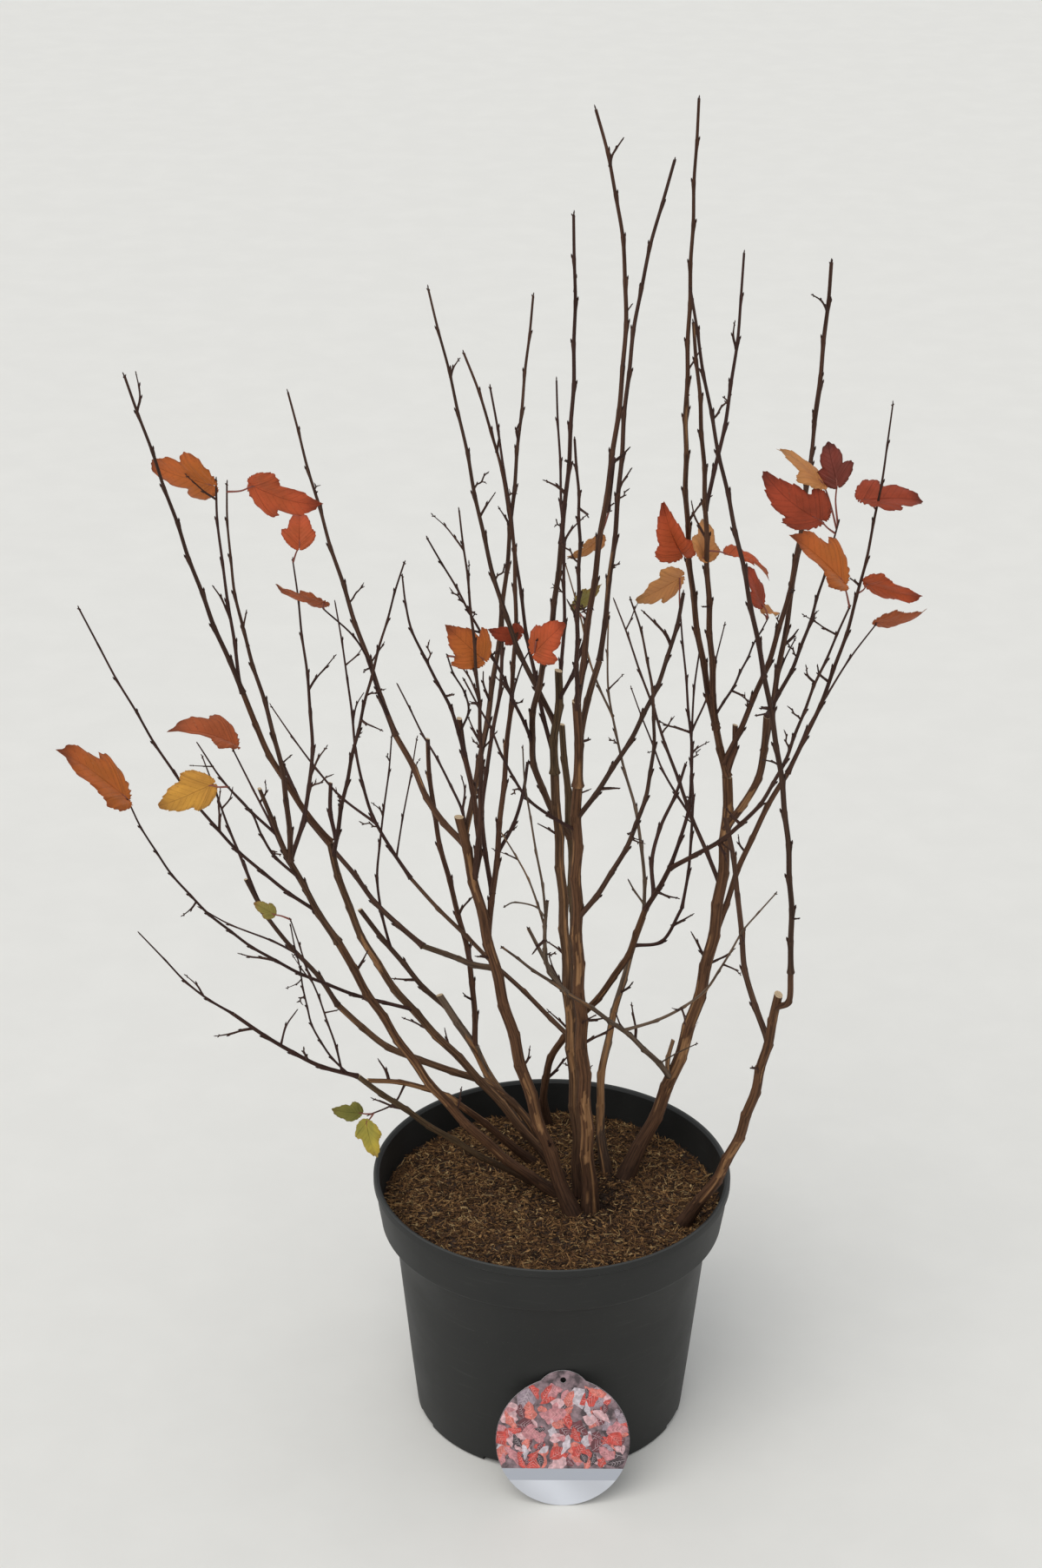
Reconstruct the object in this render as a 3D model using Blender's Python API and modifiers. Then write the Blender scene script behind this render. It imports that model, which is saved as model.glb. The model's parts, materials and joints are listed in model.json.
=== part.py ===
"""A ninebark shrub in late autumn, nearly bare, in its round nursery pot.

Canes rise from the potting mix, boughs leave the canes, and each spray is one fused mass of wands,
spurs and the few leaves still held. Millimetres in the tables below become metres in the scene.
The origin is the centre of the pot's underside, +X is right, +Y is to the back and +Z is up.
"""

import math
import random
from collections import namedtuple

import bmesh
import bpy
import numpy as np

MM = 0.001
SEED = 20
GAP = 0.3 * MM
WELD = 0.01 * MM

POT_HEIGHT = 210 * MM
LIP_RADIUS = 140 * MM
LIP_DROP = 7 * MM
LIP_ROUND = 1 * MM
COLLAR_RADIUS = 137.6 * MM
COLLAR_FOOT_RADIUS = 134 * MM
COLLAR_FOOT_HEIGHT = 169 * MM
COLLAR_STEP = 1.5 * MM
WALL_TOP_RADIUS = 124 * MM
FOOT_RADIUS = 107 * MM
WALL = 2.2 * MM
FLOOR = 3 * MM
FOOT_ROUND = 3 * MM
NOTCHES = 8
NOTCH_SIZE = (26 * MM, 15 * MM, 4.4 * MM)
POT_STEPS = 44

SOIL_EDGE_HEIGHT = 181.5 * MM
SOIL_HEIGHT = 185.7 * MM
SOIL_FLAT_RADIUS = 114 * MM

LABEL_RADIUS = 51.5 * MM
LABEL_TAB_RADIUS = 21.7 * MM
LABEL_TAB_RISE = 35.3 * MM
LABEL_HOLE_RADIUS = 2.3 * MM
LABEL_HOLE_RISE = 49.2 * MM
LABEL_THICKNESS = 0.7 * MM
LABEL_CENTRE_X = 9 * MM
LABEL_LEAN = math.radians(16)
LABEL_SLACK = 0.1 * MM

CANE_SPACING = 26 * MM
WAND_SPACING = 30 * MM
ROOT_DEPTH = 8 * MM
KINK = 0.16
KINK_BASE = 1.5 * MM
FLARE = 0.45
FLARE_LENGTH = 14 * MM
SPUR_EVERY = 62 * MM
SPUR_SHARE = 0.4
SPUR_SHIFT = 0.3
SPUR_SPAN = (0.12, 0.72)
SPUR_LEAN = 0.75
SPUR_CLEAR = 2 * MM
SPUR_LENGTH = (9 * MM, 20 * MM)
SPUR_RADIUS = (0.75 * MM, 0.45 * MM)
STALK_RADIUS = 0.6 * MM
STALK_HOLD = 0.3
LEAF_THICKNESS = 0.8 * MM
LEAF_WIDTH = 0.88
LEAF_FACES = (0, -0.9, 0.43)
LEAF_STATIONS = ((0.0, 0.5), (0.22, 1.0), (0.44, 0.62), (0.58, 0.66), (0.84, 0.42), (1.0, 0.04))

BARK = (0.17, 0.085, 0.055)
WAND_BARK = (0.10, 0.055, 0.045)
DEAD_BARK = (0.13, 0.105, 0.09)

# A cane has its foot on the mix, and a limb leaves another limb some share of the way along it.
# tip is a place, bow is how far the middle stands off the straight line in x and z, radii are
# at the foot and at the tip, and swing is an S-bend on top of the bow. All are millimetres.
Cane = namedtuple("Cane", "foot tip bow radii swing", defaults=[(0, 0)])
Limb = namedtuple("Limb", "on share tip bow radii swing", defaults=[(0, 0)])
# stalk runs from the wand to the blade's base, and blade from the base to the tip. turn rolls the
# blade about its own length in degrees, curl is how far its tip drops, as a share of the length,
# and fold is how far its edges rise, as a share of the half width.
Leaf = namedtuple("Leaf", "on share stalk blade turn curl fold")

CANES = {
    "cane_left_low": Cane((-12, 18), (-149, -34, 314), (-6, -2), (2.6, 2.1), (-1, 0)),
    "cane_peeled": Cane((-16, 51), (-144, 5, 287), (4, 18), (3.0, 1.8), (-5, 0)),
    "cane_fan_low": Cane((-5, 57), (-171, 90, 306), (8, 10), (3.2, 2.4), (8, 10)),
    "cane_fan_mid": Cane((1, 5), (-160, -57, 442), (-15, -10), (3.8, 2.9), (-2, 0)),
    "cane_left_long": Cane((6, 33), (-171, 40, 476), (-17, -11), (3.4, 2.6), (6, 5)),
    "cane_old": Cane((-9, 75), (-91, 120, 299), (-1, -3), (4.0, 3.0), (-2, 0)),
    "cane_left_upright": Cane((15, -19), (-72, 0, 517), (-6, -1), (5.2, 3.4), (-1, 0)),
    "cane_mid_left": Cane((23, 8), (-1, 18, 545), (0, 0), (4.6, 3.3)),
    "cane_mid_back": Cane((27, 39), (5, 100, 548), (0, 0), (4.2, 2.4), (-2, 0)),
    "cane_mid_right": Cane((30, -14), (15, -44, 564), (-3, -1), (5.4, 3.7), (1, 0)),
    "cane_grey": Cane((44, 40), (72, 110, 377), (-14, 1), (3.6, 2.2), (-2, 0)),
    "cane_red_right": Cane((-3, 113), (70, 40, 420), (-11, 1), (3.0, 2.4), (-10, 2)),
    "cane_right": Cane((60, 32), (132, 80, 514), (21, -1), (5.4, 3.9)),
    "cane_front_right": Cane((104, -34), (160, -120, 435), (13, -2), (4.4, 3.2), (2, 0)),
}

BOUGHS = {
    "bough_left_long": Limb("cane_left_long", 1.0, (-231, 20, 608), (-7, -1), (2.5, 2.0)),
    "bough_bend": Limb("cane_left_upright", 0.63, (-102, 80, 365), (0, -2), (2.4, 2.2), (-3, 0)),
    "bough_arch": Limb("cane_left_upright", 0.93, (-122, 90, 542), (-3, -5), (2.5, 2.2), (-2, 0)),
    "bough_back_left": Limb("cane_mid_back", 0.29, (-114, 150, 389), (1, -3), (2.0, 1.5), (1, 0)),
    "bough_mid_side": Limb("cane_mid_right", 0.93, (32, 60, 618), (-5, 0), (2.8, 2.3), (1, 0)),
    "bough_far_right": Limb("cane_right", 0.45, (183, 130, 494), (-8, 2), (2.4, 2.0), (1, 0)),
    "bough_right_fork": Limb("cane_right", 0.88, (156, 30, 587), (9, -4), (3.0, 2.6)),
    "bough_front_loop": Limb("cane_front_right", 0.95, (166, -140, 464), (4, -9), (2.3, 2.1), (1, 0)),
}

# The first limb of each spray is the stem that meets its cane or bough.
SPRAYS = {
    "spray_low_left": {
        "low_stem": Limb("cane_left_low", 1.0, (-238, -70, 388), (-3, -6), (1.7, 1.4), (-2, 0)),
        "low_end": Limb("low_stem", 1.0, (-300, -100, 471), (-1, -6), (1.0, 0.5), (-1, 0)),
        "low_shoot_a": Limb("low_stem", 0.11, (-191, -100, 483), (1, 1), (0.9, 0.5), (1, 0)),
        "low_shoot_b": Limb("low_stem", 0.07, (-186, -160, 510), (-10, -3), (0.9, 0.5), (-3, 0)),
        "low_hook": Limb("low_stem", 0.59, (-193, -50, 379), (-2, 2), (0.8, 0.5), (-1, 0)),
    },
    "spray_green_leaves": {
        "green_twig": Limb("cane_peeled", 0.82, (-143, 10, 253), (5, -4), (0.9, 0.6), (2, 0)),
    },
    "spray_fan_low": {
        "fan_low_stem": Limb("cane_fan_low", 1.0, (-242, 100, 413), (-1, -3), (2.1, 1.5), (3, 0)),
        "fan_low_whip": Limb("fan_low_stem", 0.83, (-280, 170, 487), (-1, 1), (1.5, 0.5)),
        "fan_low_thin": Limb("fan_low_stem", 0.42, (-284, 140, 367), (2, -2), (1.0, 0.5), (4, 0)),
    },
    "spray_low_long": {
        "low_long": Limb("cane_left_long", 0.54, (-293, -170, 610), (-30, -22), (1.5, 0.6)),
    },
    "spray_fan_mid": {
        "fan_mid_stem": Limb("cane_fan_mid", 1.0, (-211, -90, 582), (-4, -1), (2.7, 1.4)),
        "far_left": Limb("fan_mid_stem", 0.21, (-322, -150, 743), (-15, -15), (1.4, 0.6), (-3, 0)),
        "curled_leaf_wand": Limb("fan_mid_stem", 0.13, (-240, 20, 562), (0, -5), (1.5, 0.6), (-1, 0)),
        "yellow_leaf_wand": Limb("fan_mid_stem", 0.43, (-228, -140, 607), (-2, -1), (1.2, 0.6), (-4, 0)),
        "left_thin": Limb("fan_mid_stem", 0.70, (-252, -100, 621), (-3, -3), (1.2, 0.5)),
        "left_pair_front": Limb("fan_mid_stem", 0.55, (-221, -140, 828), (-1, -2), (2.2, 0.6), (6, -1)),
        "left_inner": Limb("fan_mid_stem", 0.55, (-198, 100, 682), (14, -3), (1.8, 0.6), (3, 0)),
    },
    "spray_left_long": {
        "left_long": Limb("bough_left_long", 1.0, (-301, -20, 863), (-2, -1), (1.9, 0.9), (-1, 0)),
        "left_pair_back": Limb("left_long", 0.03, (-251, 80, 752), (-2, 0), (1.4, 0.8), (1, 0)),
    },
    "spray_left_middle": {
        "left_middle": Limb("cane_left_long", 0.965, (-107, -80, 750), (-4, 0), (1.8, 0.6)),
        "left_stub": Limb("left_middle", 0.06, (-170, 50, 521), (-2, -1), (1.6, 1.5), (-2, 0)),
    },
    "spray_bend": {
        "bend_stem": Limb("bough_bend", 1.0, (-196, 160, 436), (-1, -5), (2.2, 1.8), (-2, 0)),
        "bend_end": Limb("bend_stem", 1.0, (-222, 200, 476), (1, -2), (1.6, 1.4), (2, 0)),
    },
    "spray_red_low": {
        "red_low": Limb("cane_old", 0.91, (-155, 140, 366), (-1, -4), (2.2, 2.0), (-1, 0)),
        "red_low_whip": Limb("red_low", 0.63, (-128, 150, 514), (-9, 1), (1.2, 0.6), (-3, 0)),
    },
    "spray_red_upright": {
        "red_upright": Limb("cane_old", 0.65, (-100, 160, 508), (2, -2), (2.4, 1.8), (5, 0)),
    },
    "spray_arch": {
        "arch_whip": Limb("bough_arch", 1.0, (-206, 200, 780), (-4, -1), (2.2, 0.8)),
        "arch_leaf_wand": Limb("arch_whip", 0.06, (-172, 50, 662), (9, 1), (1.1, 0.6), (-3, 0)),
    },
    "spray_back_left": {
        "back_left_whip": Limb("bough_back_left", 1.0, (-176, 240, 591), (-14, -7), (1.6, 0.6), (-5, 0)),
        "back_left_thin": Limb("back_left_whip", 0.09, (-110, 200, 490), (0, 0), (0.8, 0.5)),
        "back_left_side": Limb("back_left_whip", 0.22, (-230, 240, 500), (-7, -3), (1.2, 0.5), (-2, 0)),
    },
    "spray_upright_stub": {
        "upright_stub": Limb("cane_left_upright", 0.84, (-71, -20, 606), (6, -1), (2.2, 2.0), (2, 0)),
        "front_left": Limb("upright_stub", 0.04, (-68, -140, 810), (8, 2), (2.0, 0.6), (1, 0)),
        "left_cross": Limb("upright_stub", 0.78, (-107, -120, 756), (-3, 0), (1.5, 0.6), (4, 0)),
        "middle_leaf_twig": Limb("upright_stub", 0.93, (-78, -80, 681), (7, 1), (0.9, 0.6), (3, 0)),
    },
    "spray_upright_whip": {
        "upright_whip": Limb("cane_left_upright", 0.95, (-19, 200, 857), (6, 0), (2.4, 0.9), (2, 0)),
    },
    "spray_inner_left": {
        "inner_left": Limb("cane_left_upright", 0.89, (-125, 200, 537), (9, -1), (1.3, 0.6), (3, 0)),
    },
    "spray_back_whip": {
        "back_whip": Limb("cane_left_upright", 0.7, (-70, 120, 837), (29, 4), (2.4, 0.9), (-6, 0)),
        "back_leaf_twig": Limb("back_whip", 0.41, (-15, -20, 668), (-3, 1), (0.8, 0.5)),
        "back_cross": Limb("back_whip", 0.15, (-21, 90, 520), (5, 0), (1.5, 1.2)),
        "upright_side": Limb("back_whip", 0.08, (-41, 150, 620), (-6, 1), (1.9, 1.3), (-5, 0)),
    },
    "spray_middle": {
        "middle_stem": Limb("cane_mid_back", 0.755, (1, -50, 753), (-22, -1), (2.6, 1.9), (-8, 0)),
        "middle_side": Limb("middle_stem", 0.35, (-90, -120, 783), (3, 1), (1.4, 0.6)),
        "middle_whip": Limb("middle_stem", 1.0, (6, -90, 996), (4, 0), (1.7, 1.0)),
    },
    "spray_mid_left": {
        "mid_left_stem": Limb("cane_mid_left", 1.0, (1, 20, 627), (0, 0), (3.2, 2.9), (-1, 0)),
        "mid_left_whip": Limb("mid_left_stem", 0.47, (-95, 100, 891), (-10, -4), (2.1, 0.8), (-4, -2)),
        "mid_left_back": Limb("mid_left_stem", 0.15, (-51, 160, 798), (-3, -1), (1.7, 0.8), (-2, 0)),
        "mid_left_up": Limb("mid_left_stem", 0.70, (-2, 90, 826), (4, 0), (1.5, 0.7), (1, 0)),
        "olive_leaf_twig": Limb("mid_left_stem", 0.72, (21, -20, 676), (2, 0), (1.5, 1.0), (1, 0)),
    },
    "spray_mid_right": {
        "mid_right_stem": Limb("cane_mid_right", 1.0, (13, -50, 633), (2, 0), (3.5, 3.2)),
        "mid_right_whip": Limb("mid_right_stem", 0.96, (23, 70, 1028), (23, 1), (2.4, 1.1), (-6, -1)),
        "mid_front_whip": Limb("mid_right_stem", 0.90, (6, -240, 894), (2, 2), (1.9, 0.8), (-1, 0)),
        "tan_leaf_twig": Limb("mid_right_whip", 0.38, (35, 0, 758), (3, 28), (1.2, 1.0)),
    },
    "spray_mid_side": {
        "mid_side_whip": Limb("bough_mid_side", 1.0, (85, 200, 961), (-9, -2), (2.1, 1.2), (4, 0)),
    },
    "spray_front_middle": {
        "front_middle": Limb("cane_mid_right", 0.925, (83, -120, 744), (12, -2), (2.0, 1.3), (0, 1)),
    },
    "spray_cross_thin": {
        "cross_thin": Limb("cane_mid_right", 0.90, (-65, -150, 693), (-11, -6), (1.3, 0.6), (-4, -2)),
    },
    "spray_front_bowed": {
        "front_bowed": Limb("cane_mid_right", 0.70, (45, -180, 764), (34, -2), (2.2, 0.6), (1, 0)),
    },
    "spray_grey": {
        "grey_whip": Limb("cane_grey", 1.0, (43, 220, 592), (-1, -5), (1.6, 0.6), (6, 0)),
        "grey_thin": Limb("grey_whip", 0.66, (7, 160, 657), (-3, -1), (1.0, 0.5), (-2, 0)),
        "grey_dead": Limb("grey_whip", 0.04, (59, 100, 414), (-1, 1), (0.9, 0.6), (-1, 0)),
    },
    "spray_red_right": {
        "red_right_stem": Limb("cane_red_right", 1.0, (87, 20, 466), (1, 1), (2.0, 1.9), (1, 0)),
        "red_right_up": Limb("red_right_stem", 1.0, (86, -30, 697), (12, -2), (1.6, 0.6), (3, 0)),
        "red_right_side": Limb("red_right_stem", 0.32, (101, 100, 515), (-7, 2), (1.7, 1.1), (-3, 0)),
        "red_right_long": Limb("red_right_stem", 0.98, (189, -180, 759), (23, -10), (1.9, 0.7), (7, -3)),
    },
    "spray_hook": {
        "hook_low": Limb("cane_grey", 0.88, (101, 90, 395), (4, -12), (1.4, 1.3), (-1, 0)),
        "hook_up": Limb("hook_low", 1.0, (115, 200, 567), (1, 0), (1.3, 0.7), (3, 0)),
        "hook_twig": Limb("hook_up", 0.69, (133, 180, 599), (3, 0), (0.9, 0.5), (1, 0)),
    },
    "spray_back_right": {
        "back_right": Limb("cane_right", 0.74, (47, 220, 603), (-1, -2), (1.8, 0.6), (-1, 0)),
        "back_right_side": Limb("back_right", 0.24, (63, 240, 518), (-3, -4), (1.1, 0.5), (-1, 0)),
    },
    "spray_right_top": {
        "right_stem": Limb("cane_right", 1.0, (121, 90, 559), (0, -1), (3.0, 2.7), (-2, 0)),
        "tallest_whip": Limb("right_stem", 0.81, (92, 30, 1045), (-16, -3), (2.6, 1.0), (-3, 0)),
        "right_pair_whip": Limb("right_stem", 0.88, (90, -20, 903), (1, -1), (2.6, 1.2), (-1, 0)),
        "right_pair_side": Limb("right_pair_whip", 0.56, (133, 120, 913), (5, -1), (1.6, 0.9)),
        "right_twin_left": Limb("right_stem", 0.23, (189, 50, 926), (20, 1), (2.3, 1.0), (4, 0)),
        "right_inner": Limb("right_stem", 1.0, (147, -50, 698), (3, 4), (1.1, 0.5), (1, 0)),
        "right_fork_stub": Limb("right_stem", 0.05, (137, 85, 555), (2, 0), (2.4, 2.1), (1, 0)),
    },
    "spray_right_twin": {
        "right_twin": Limb("bough_right_fork", 0.71, (205, 200, 884), (5, 1), (2.3, 1.0)),
        "right_twin_twig": Limb("right_twin", 0.14, (181, 100, 620), (-1, 0), (0.8, 0.5)),
    },
    "spray_right_leafy": {
        "right_leafy": Limb("bough_right_fork", 1.0, (190, -80, 782), (6, 0), (1.7, 0.6), (1, 0)),
        "right_leafy_side": Limb("right_leafy", 0.04, (143, -30, 614), (6, 0), (1.2, 0.6)),
    },
    "spray_far_right": {
        "far_right": Limb("bough_far_right", 1.0, (247, 120, 800), (14, -2), (1.9, 0.6), (1, 0)),
        "far_right_low": Limb("far_right", 0.02, (253, 190, 596), (-5, 1), (1.2, 0.6)),
    },
    "spray_cross_right": {
        "cross_right": Limb("cane_front_right", 0.81, (128, 30, 503), (-4, -3), (2.4, 1.8), (-3, 0)),
    },
    "spray_front_right": {
        "front_right": Limb("bough_front_loop", 1.0, (134, -190, 713), (6, 1), (2.1, 1.8)),
        "front_right_whip": Limb("front_right", 1.0, (75, -240, 991), (-1, -1), (1.8, 0.9), (1, 0)),
    },
    "spray_dead": {
        "dead_cross": Limb("cane_right", 0.26, (-39, -114, 469), (0, 7), (2.4, 0.8), (4, 0)),
        "dead_stub_a": Limb("dead_cross", 0.66, (-20, -80, 466), (0, -2), (1.7, 1.3), (1, 0)),
        "dead_stub_b": Limb("dead_cross", 0.64, (-7, -120, 509), (-9, -1), (1.7, 1.3), (-2, 0)),
        "dead_thin_a": Limb("dead_stub_b", 0.73, (-40, -160, 584), (3, 2), (0.9, 0.5)),
        "dead_thin_b": Limb("dead_stub_b", 0.85, (-25, -140, 638), (-1, 0), (1.0, 0.5), (1, 0)),
        "dead_arc": Limb("dead_stub_b", 0.83, (-37, -180, 536), (0, 7), (0.7, 0.5), (3, 0)),
        "dead_right": Limb("dead_cross", 0.34, (154, -130, 522), (17, -5), (1.3, 0.5), (7, -3)),
        "dead_low": Limb("dead_cross", 0.10, (109, -20, 336), (-1, 0), (0.7, 0.4), (-2, 0)),
        "dead_stub_right": Limb("dead_cross", 0.03, (95, 50, 299), (-1, 0), (1.8, 1.6)),
    },
}

LEAVES = [
    Leaf("left_pair_back", 0.98, (-4, 0, -1), (-49, 20, 6), 54, 0.05, 0.05),
    Leaf("left_pair_front", 0.98, (18, 0, 4), (38, -20, -13), -51, 0.22, 0.2),
    Leaf("left_inner", 0.99, (5, 0, 13), (0, 15, 26), -4, 0.55, 0.22),
    Leaf("arch_leaf_wand", 1.0, (0, 0, 6), (-37, 10, 3), 96, 0.1, 0.22),
    Leaf("curled_leaf_wand", 1.0, (0, 0, 4), (-37, -10, 27), -64, 0.23, 0.53),
    Leaf("low_long", 1.0, (-3, 0, 4), (-36, -20, 45), -83, 0.05, 0.25),
    Leaf("yellow_leaf_wand", 1.0, (-12, 0, 1), (-35, -10, -13), 30, 0.05, 0.05),
    Leaf("low_shoot_a", 1.0, (-12, 0, 4), (-13, 0, 10), -25, 0.15, 0.2),
    Leaf("green_twig", 0.96, (-9, 0, 1), (-20, -10, 7), 30, 0.1, 0.2),
    Leaf("green_twig", 0.90, (-6, 0, -9), (5, -10, -28), -35, 0.15, 0.25),
    Leaf("middle_leaf_twig", 0.99, (25, 0, -3), (-18, -20, 27), 1, 0.23, 0.05),
    Leaf("back_whip", 0.54, (3, 0, -8), (-19, -15, 4), 46, 0.26, 0.14),
    Leaf("back_leaf_twig", 0.98, (-1, 0, -9), (19, -16, 29), 26, 0.05, 0.11),
    Leaf("olive_leaf_twig", 0.99, (-10, 8, 16), (22, 14, 9), -61, 0.06, 0.18),
    Leaf("tan_leaf_twig", 1.0, (-6, 0, -19), (-18, 0, -22), 62, 0.24, 0.24),
    Leaf("tallest_whip", 0.31, (-5, 0, -2), (-16, -15, 30), 32, 0.41, 0.68),
    Leaf("right_pair_whip", 0.44, (-3, 0, 1), (7, 20, 24), -35, 0.25, 0.35),
    Leaf("right_pair_whip", 0.46, (16, 0, -3), (34, 10, -8), 65, 0.29, 0.42),
    Leaf("red_right_up", 1.0, (-1, 0, 23), (-30, -20, -11), 53, 0.05, 0.19),
    Leaf("right_inner", 1.0, (-5, 0, 11), (-9, 0, 29), -57, 0.1, 0.08),
    Leaf("right_inner", 0.98, (-3, 0, 5), (12, 15, -3), 42, 0.2, 0.67),
    Leaf("right_leafy", 0.96, (-11, 0, 33), (-27, 10, 26), -79, 0.1, 0.05),
    Leaf("right_leafy", 0.98, (-2, 0, 30), (-7, 15, 25), 46, 0.05, 0.05),
    Leaf("right_leafy", 0.94, (-11, 0, 10), (-36, -20, 22), 59, 0.4, 0.05),
    Leaf("red_right_long", 1.0, (-6, 0, 19), (-32, -10, 36), -77, 0.05, 0.41),
    Leaf("far_right", 0.73, (-10, 0, 8), (48, 20, -4), 50, 0.05, 0.27),
    Leaf("far_right", 0.51, (8, 0, 8), (37, -20, -6), -73, 0.05, 0.07),
    Leaf("far_right_low", 1.0, (1, 0, 1), (38, 0, -3), -81, 0.29, 0.05),
]


def clear_scene():
    for obj in list(bpy.data.objects):
        bpy.data.objects.remove(obj, do_unlink=True)


def new_collection(name):
    collection = bpy.data.collections.new(name)
    bpy.context.scene.collection.children.link(collection)
    return collection


def make_material(name, colour, roughness, metallic=0.0):
    material = bpy.data.materials.new(name)
    material.use_nodes = True
    shader = material.node_tree.nodes["Principled BSDF"]
    shader.inputs["Base Color"].default_value = (*colour, 1.0)
    shader.inputs["Roughness"].default_value = roughness
    shader.inputs["Metallic"].default_value = metallic
    return material


def mesh_object(name, mesh, collection):
    obj = bpy.data.objects.new(name, mesh)
    collection.objects.link(obj)
    return obj


def applied(obj):
    """Gives the object the mesh that its modifiers make."""
    graph = bpy.context.evaluated_depsgraph_get()
    graph.update()
    mesh = bpy.data.meshes.new_from_object(obj.evaluated_get(graph))
    obj.modifiers.clear()
    obj.data = mesh
    return obj


def boolean(obj, operation, other, solver="EXACT"):
    modifier = obj.modifiers.new(operation.lower(), "BOOLEAN")
    modifier.operation = operation
    modifier.solver = solver
    if isinstance(other, bpy.types.Collection):
        modifier.operand_type = "COLLECTION"
        modifier.collection = other
    else:
        modifier.object = other
    return applied(obj)


def smooth(obj, angle=50):
    obj.data.shade_smooth()
    obj.data.set_sharp_from_angle(angle=math.radians(angle))


def keep_largest_body(obj):
    """Drops loose scraps that a cut leaves."""
    work = bmesh.new()
    work.from_mesh(obj.data)
    left = set(work.verts)
    bodies = []
    while left:
        stack = [left.pop()]
        body = set(stack)
        while stack:
            for edge in stack.pop().link_edges:
                for vert in edge.verts:
                    if vert in left:
                        left.remove(vert)
                        body.add(vert)
                        stack.append(vert)
        bodies.append(body)
    largest = max(bodies, key=len)
    scraps = [vert for body in bodies if body is not largest for vert in body]
    bmesh.ops.delete(work, geom=scraps, context="VERTS")
    work.to_mesh(obj.data)
    work.free()


def limb_line(start, tip, bow, swing, spacing):
    """Points along a limb from its start to its tip, in metres."""
    start = np.array(start)
    tip = np.array(tip, float) * MM
    bow = np.array((bow[0], 0, bow[1])) * MM
    swing = np.array((swing[0], 0, swing[1])) * MM
    length = np.linalg.norm(tip - start)
    count = max(2, round(length / spacing))
    along = np.linspace(0, 1, count + 1)[:, None]
    return (
        start + (tip - start) * along + bow * 4 * along * (1 - along)
        + swing * np.sin(2 * math.pi * along)
    )


def reach_along(line):
    """How far each point is from the line's start, measured along it."""
    return np.concatenate([[0], np.cumsum(np.linalg.norm(np.diff(line, axis=0), axis=1))])


def point_on(line, share):
    reach = reach_along(line)
    return np.array([np.interp(share * reach[-1], reach, line[:, k]) for k in range(3)])


def kinked(line, chance, radii):
    """Turns the line a little at each bud, one side and then the other."""
    bent = line.copy()
    side = chance.choice((-1, 1))
    for index in range(1, len(line) - 1):
        along = line[index + 1] - line[index - 1]
        across = np.cross(along, (0, 1, 0))
        across /= np.linalg.norm(across) or 1
        size = KINK * (0.6 + 0.4 * chance.random()) * (KINK_BASE + radii[index])
        bent[index] += side * size * across
        side = -side
    return bent


def tube(name, line, radii, collection, resolution=0, cap_reach=0.0):
    """A closed round limb along the line, as a mesh."""
    points = np.array(line)
    if cap_reach:
        points[0] -= cap_reach * unit(points[1] - points[0])
        points[-1] += cap_reach * unit(points[-1] - points[-2])
    curve = bpy.data.curves.new(name, "CURVE")
    curve.dimensions = "3D"
    curve.bevel_depth = 1.0
    curve.bevel_resolution = resolution
    curve.use_fill_caps = True
    spline = curve.splines.new("POLY")
    spline.points.add(len(points) - 1)
    for target, place, radius in zip(spline.points, points, radii):
        target.co = (*place, 1)
        target.radius = radius
    guide = bpy.data.objects.new(name + "_guide", curve)
    collection.objects.link(guide)
    graph = bpy.context.evaluated_depsgraph_get()
    graph.update()
    mesh = bpy.data.meshes.new_from_object(guide.evaluated_get(graph))
    bpy.data.objects.remove(guide, do_unlink=True)
    work = bmesh.new()
    work.from_mesh(mesh)
    bmesh.ops.remove_doubles(work, verts=work.verts, dist=WELD)
    bmesh.ops.recalc_face_normals(work, faces=work.faces)
    work.to_mesh(mesh)
    work.free()
    return mesh_object(name, mesh, collection)


def unit(vector):
    return vector / (np.linalg.norm(vector) or 1)


def taper(radii, count):
    return np.linspace(radii[0], radii[1], count) * MM


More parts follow.
